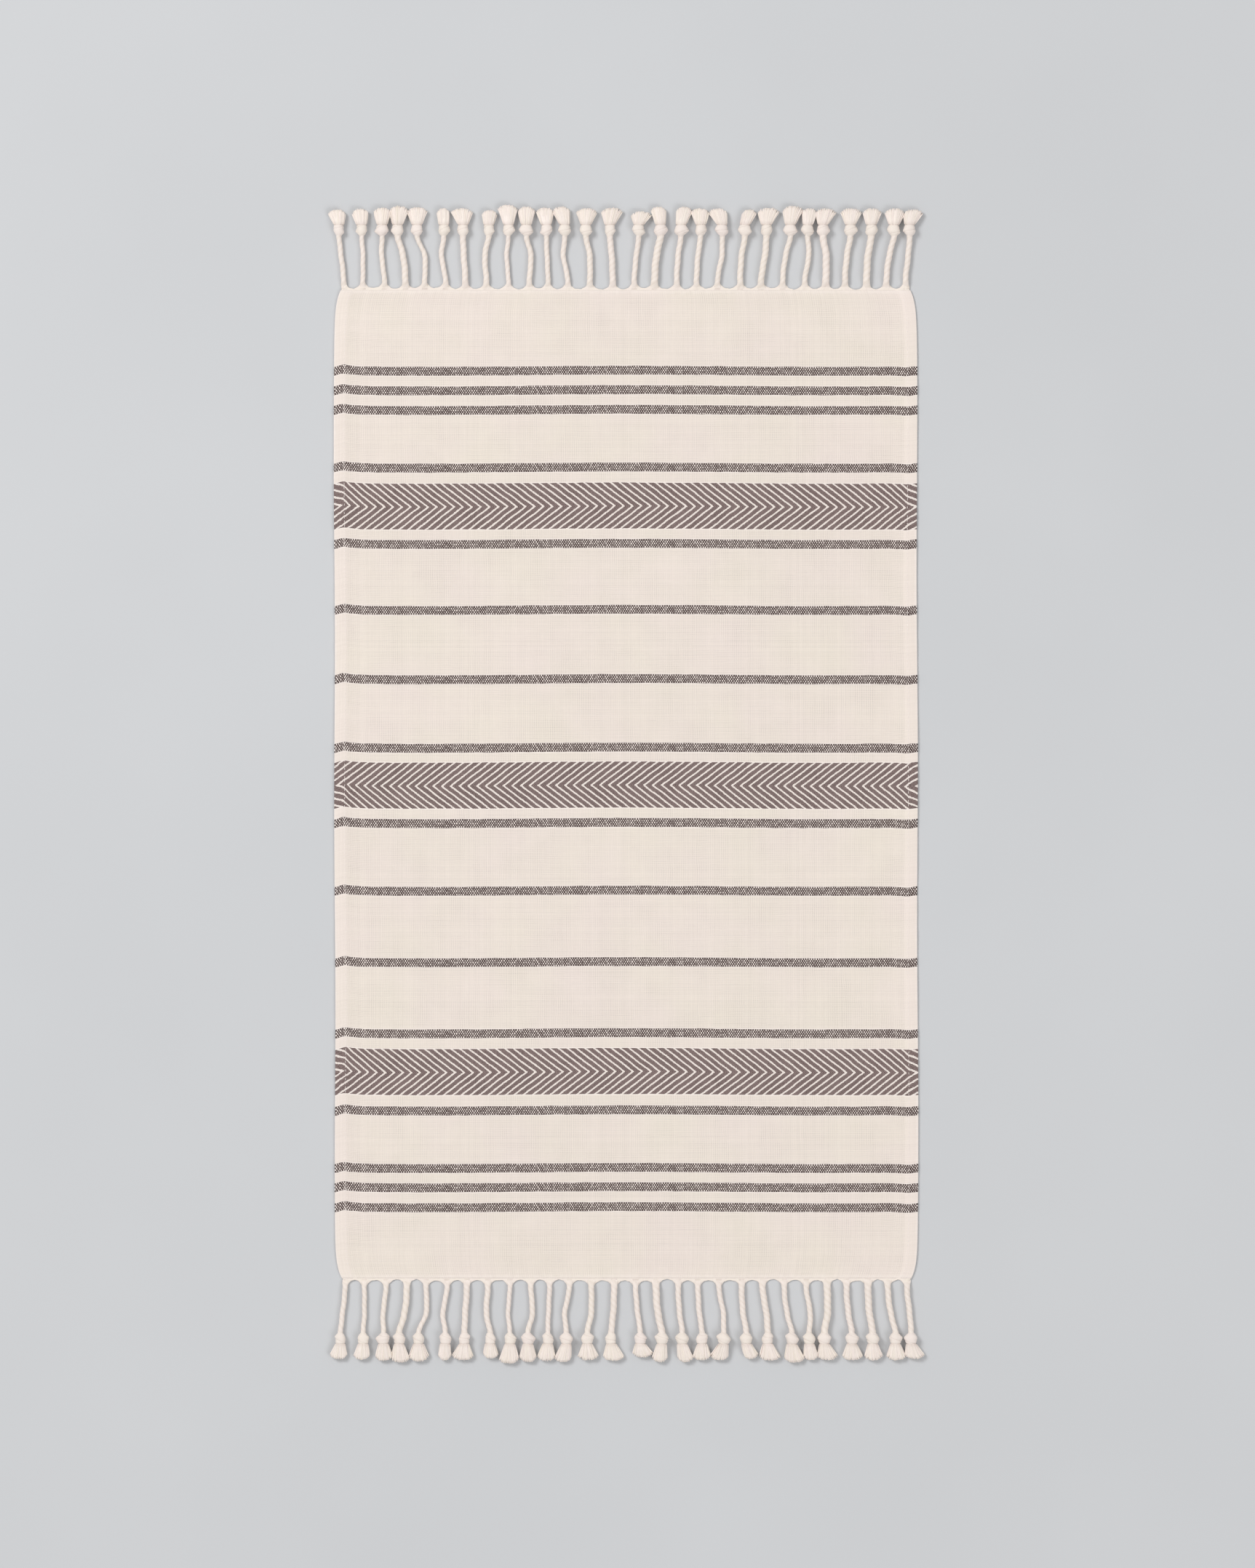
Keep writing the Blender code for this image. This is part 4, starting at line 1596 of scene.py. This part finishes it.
        sunk = sizes.sink * smooth_share(run, 0.1 * MM, -1.9 * MM) * (up > 0)
        z = (upper + lower)[:, 2:] / 2 + thick * up - sizes.crease_depth * crease - sunk
        drawn = cloth.corner_draw * (1 - np.exp(np.minimum(run, 0.0) / cloth.corner_reach))
        z = np.maximum(z, self.clear)
        rings = np.stack([x[:, None] + share[:, None] * drawn, run, z], axis=-1)[None, :, :-1]
        gathered = sizes.gather * np.clip(run / sizes.gather_length, 0.0, 0.9)
        near = root[away.argmin(axis=1)][:, None]
        spread = near + (x[:, None] - near) / (1 - gathered)
        places = np.broadcast_to(np.linspace(0, 1, sizes.around + 1), (1, *run.shape))
        skin = tube_bundle(self.placed(rings), places, spread[None], np.array([0.5]))
        # The tone attribute carries the crease, which the heading's material paints as a shadow.
        skin.tone = crease[:, :-1].ravel()
        return skin

    def build(self, finishes: dict[str, bpy.types.Material]) -> list[bpy.types.Object]:
        """Makes the five pieces of the fringe and puts them on their body.

        Args:
            finishes: The materials by the name of the piece that wears them.

        Returns:
            The heading, the cords, the knots, and the loose ends with their cores.
        """
        skins = {
            "heading": self.heading_skin(),
            "cords": self.cord_skin(),
            "knots": self.knot_skin(),
            "cores": self.core_skin(),
            "brushes": self.brush_skin(),
        }
        made = []
        for kind, skin in skins.items():
            piece = skin.piece(f"{kind}_{self.label()}", [finishes[kind]])
            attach(piece, BODY)
            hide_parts(f"fringe_{self.label()}")
            made.append(piece)
        return made


# ------------------------------------------------------------------ studio


@dataclass
class Studio:
    """The floor, the soft lights and the camera that looks straight down."""

    view_height: float = 1.3475
    view_centre: tuple[float, float] = (1.25 * MM, 0.25 * MM)
    camera_distance: float = 6.0
    sensor: float = 36.0
    floor_half: float = 6.0
    floor_tiles: int = 8
    floor_level: float = -0.3 * MM
    world_strength: float = 0.50

    def build(self) -> None:
        """Makes the floor, the lights and the camera."""
        self.lay_floor()
        self.hang_lights()
        self.set_camera()
        bpy.context.scene.view_settings.view_transform = "Standard"

    def lay_floor(self) -> None:
        """A square of floor as a coarse grid of quads."""
        tiles = self.floor_tiles
        side = np.linspace(-self.floor_half, self.floor_half, tiles + 1)
        x, y = np.meshgrid(side, side)
        points = np.stack([x, y, np.full_like(x, self.floor_level)], axis=-1).reshape(-1, 3)
        row, column = np.meshgrid(np.arange(tiles), np.arange(tiles), indexing="ij")
        first = (row * (tiles + 1) + column).ravel()
        faces = np.stack([first, first + 1, first + tiles + 2, first + tiles + 1], axis=-1)
        mesh = bpy.data.meshes.new("floor")
        mesh.from_pydata(points.tolist(), [], faces.tolist())
        mesh.materials.append(PaintedFloor().material())
        floor = bpy.data.objects.new("floor", mesh)
        bpy.context.scene.collection.objects.link(floor)

    def hang_lights(self) -> None:
        """An even white surround, a broad soft light high to one side and a weaker one opposite."""
        world = bpy.data.worlds.new("studio_air")
        world.use_nodes = True
        background = world.node_tree.nodes["Background"]
        background.inputs["Color"].default_value = (1.0, 1.0, 1.0, 1.0)
        background.inputs["Strength"].default_value = self.world_strength
        bpy.context.scene.world = world
        for name, place, size, power in (
            ("key_light", (-3.4, 2.5, 4.6), 2.2, 195.0),
            ("fill_light", (3.6, -2.8, 4.6), 3.0, 104.0),
        ):
            lamp = bpy.data.lights.new(name, "AREA")
            lamp.size = size
            lamp.energy = power
            holder = bpy.data.objects.new(name, lamp)
            holder.location = place
            away = np.array(place)
            tilt = math.atan2(math.hypot(away[0], away[1]), away[2])
            holder.rotation_euler = (0.0, tilt, math.atan2(away[1], away[0]))
            bpy.context.scene.collection.objects.link(holder)

    def set_camera(self) -> None:
        """A long lens straight above, so that the towel's plane fills the asked height."""
        lens = bpy.data.cameras.new("camera")
        lens.sensor_width = self.sensor
        lens.lens = self.sensor * self.camera_distance / self.view_height
        camera = bpy.data.objects.new("camera", lens)
        camera.location = (*self.view_centre, self.camera_distance)
        bpy.context.scene.collection.objects.link(camera)
        bpy.context.scene.camera = camera


def main() -> None:
    """Builds the towel and its studio."""
    logging.basicConfig(level=logging.INFO, format="%(name)s: %(message)s")
    Studio().build()
    cloth = Cloth()
    weave = cloth.build()
    LOG.info("%s: %d faces", weave.name, len(weave.data.polygons))
    thread = SewingThread().material()
    rows = [
        HemStitches(cloth, "hem_stitches_left", -cloth.left_stitch, seed=11),
        HemStitches(cloth, "hem_stitches_right", cloth.right_stitch, seed=12),
    ]
    fitted = [row.build(thread) for row in rows]
    tassels = Tassels()
    finishes = {
        "heading": HeadingYarn(cloth.loom).material(),
        "cords": CordYarn(lay=Fringe.lay_length).material(),
        "knots": KnotYarn(lead=Fringe.wrap_lead).material(),
        "cores": BrushYarn("brush_core", fibres=1.0, twist=0.0).material(),
        "brushes": BrushYarn("brush_yarn").material(),
    }
    for number, end in enumerate(End):
        fitted += Fringe(end, tassels, cloth, seed=5 + 10 * number).build(finishes)
    for piece in fitted:
        LOG.info("%s: %d faces", piece.name, len(piece.data.polygons))
    cloth.flat_size()


if __name__ == "__main__":
    main()
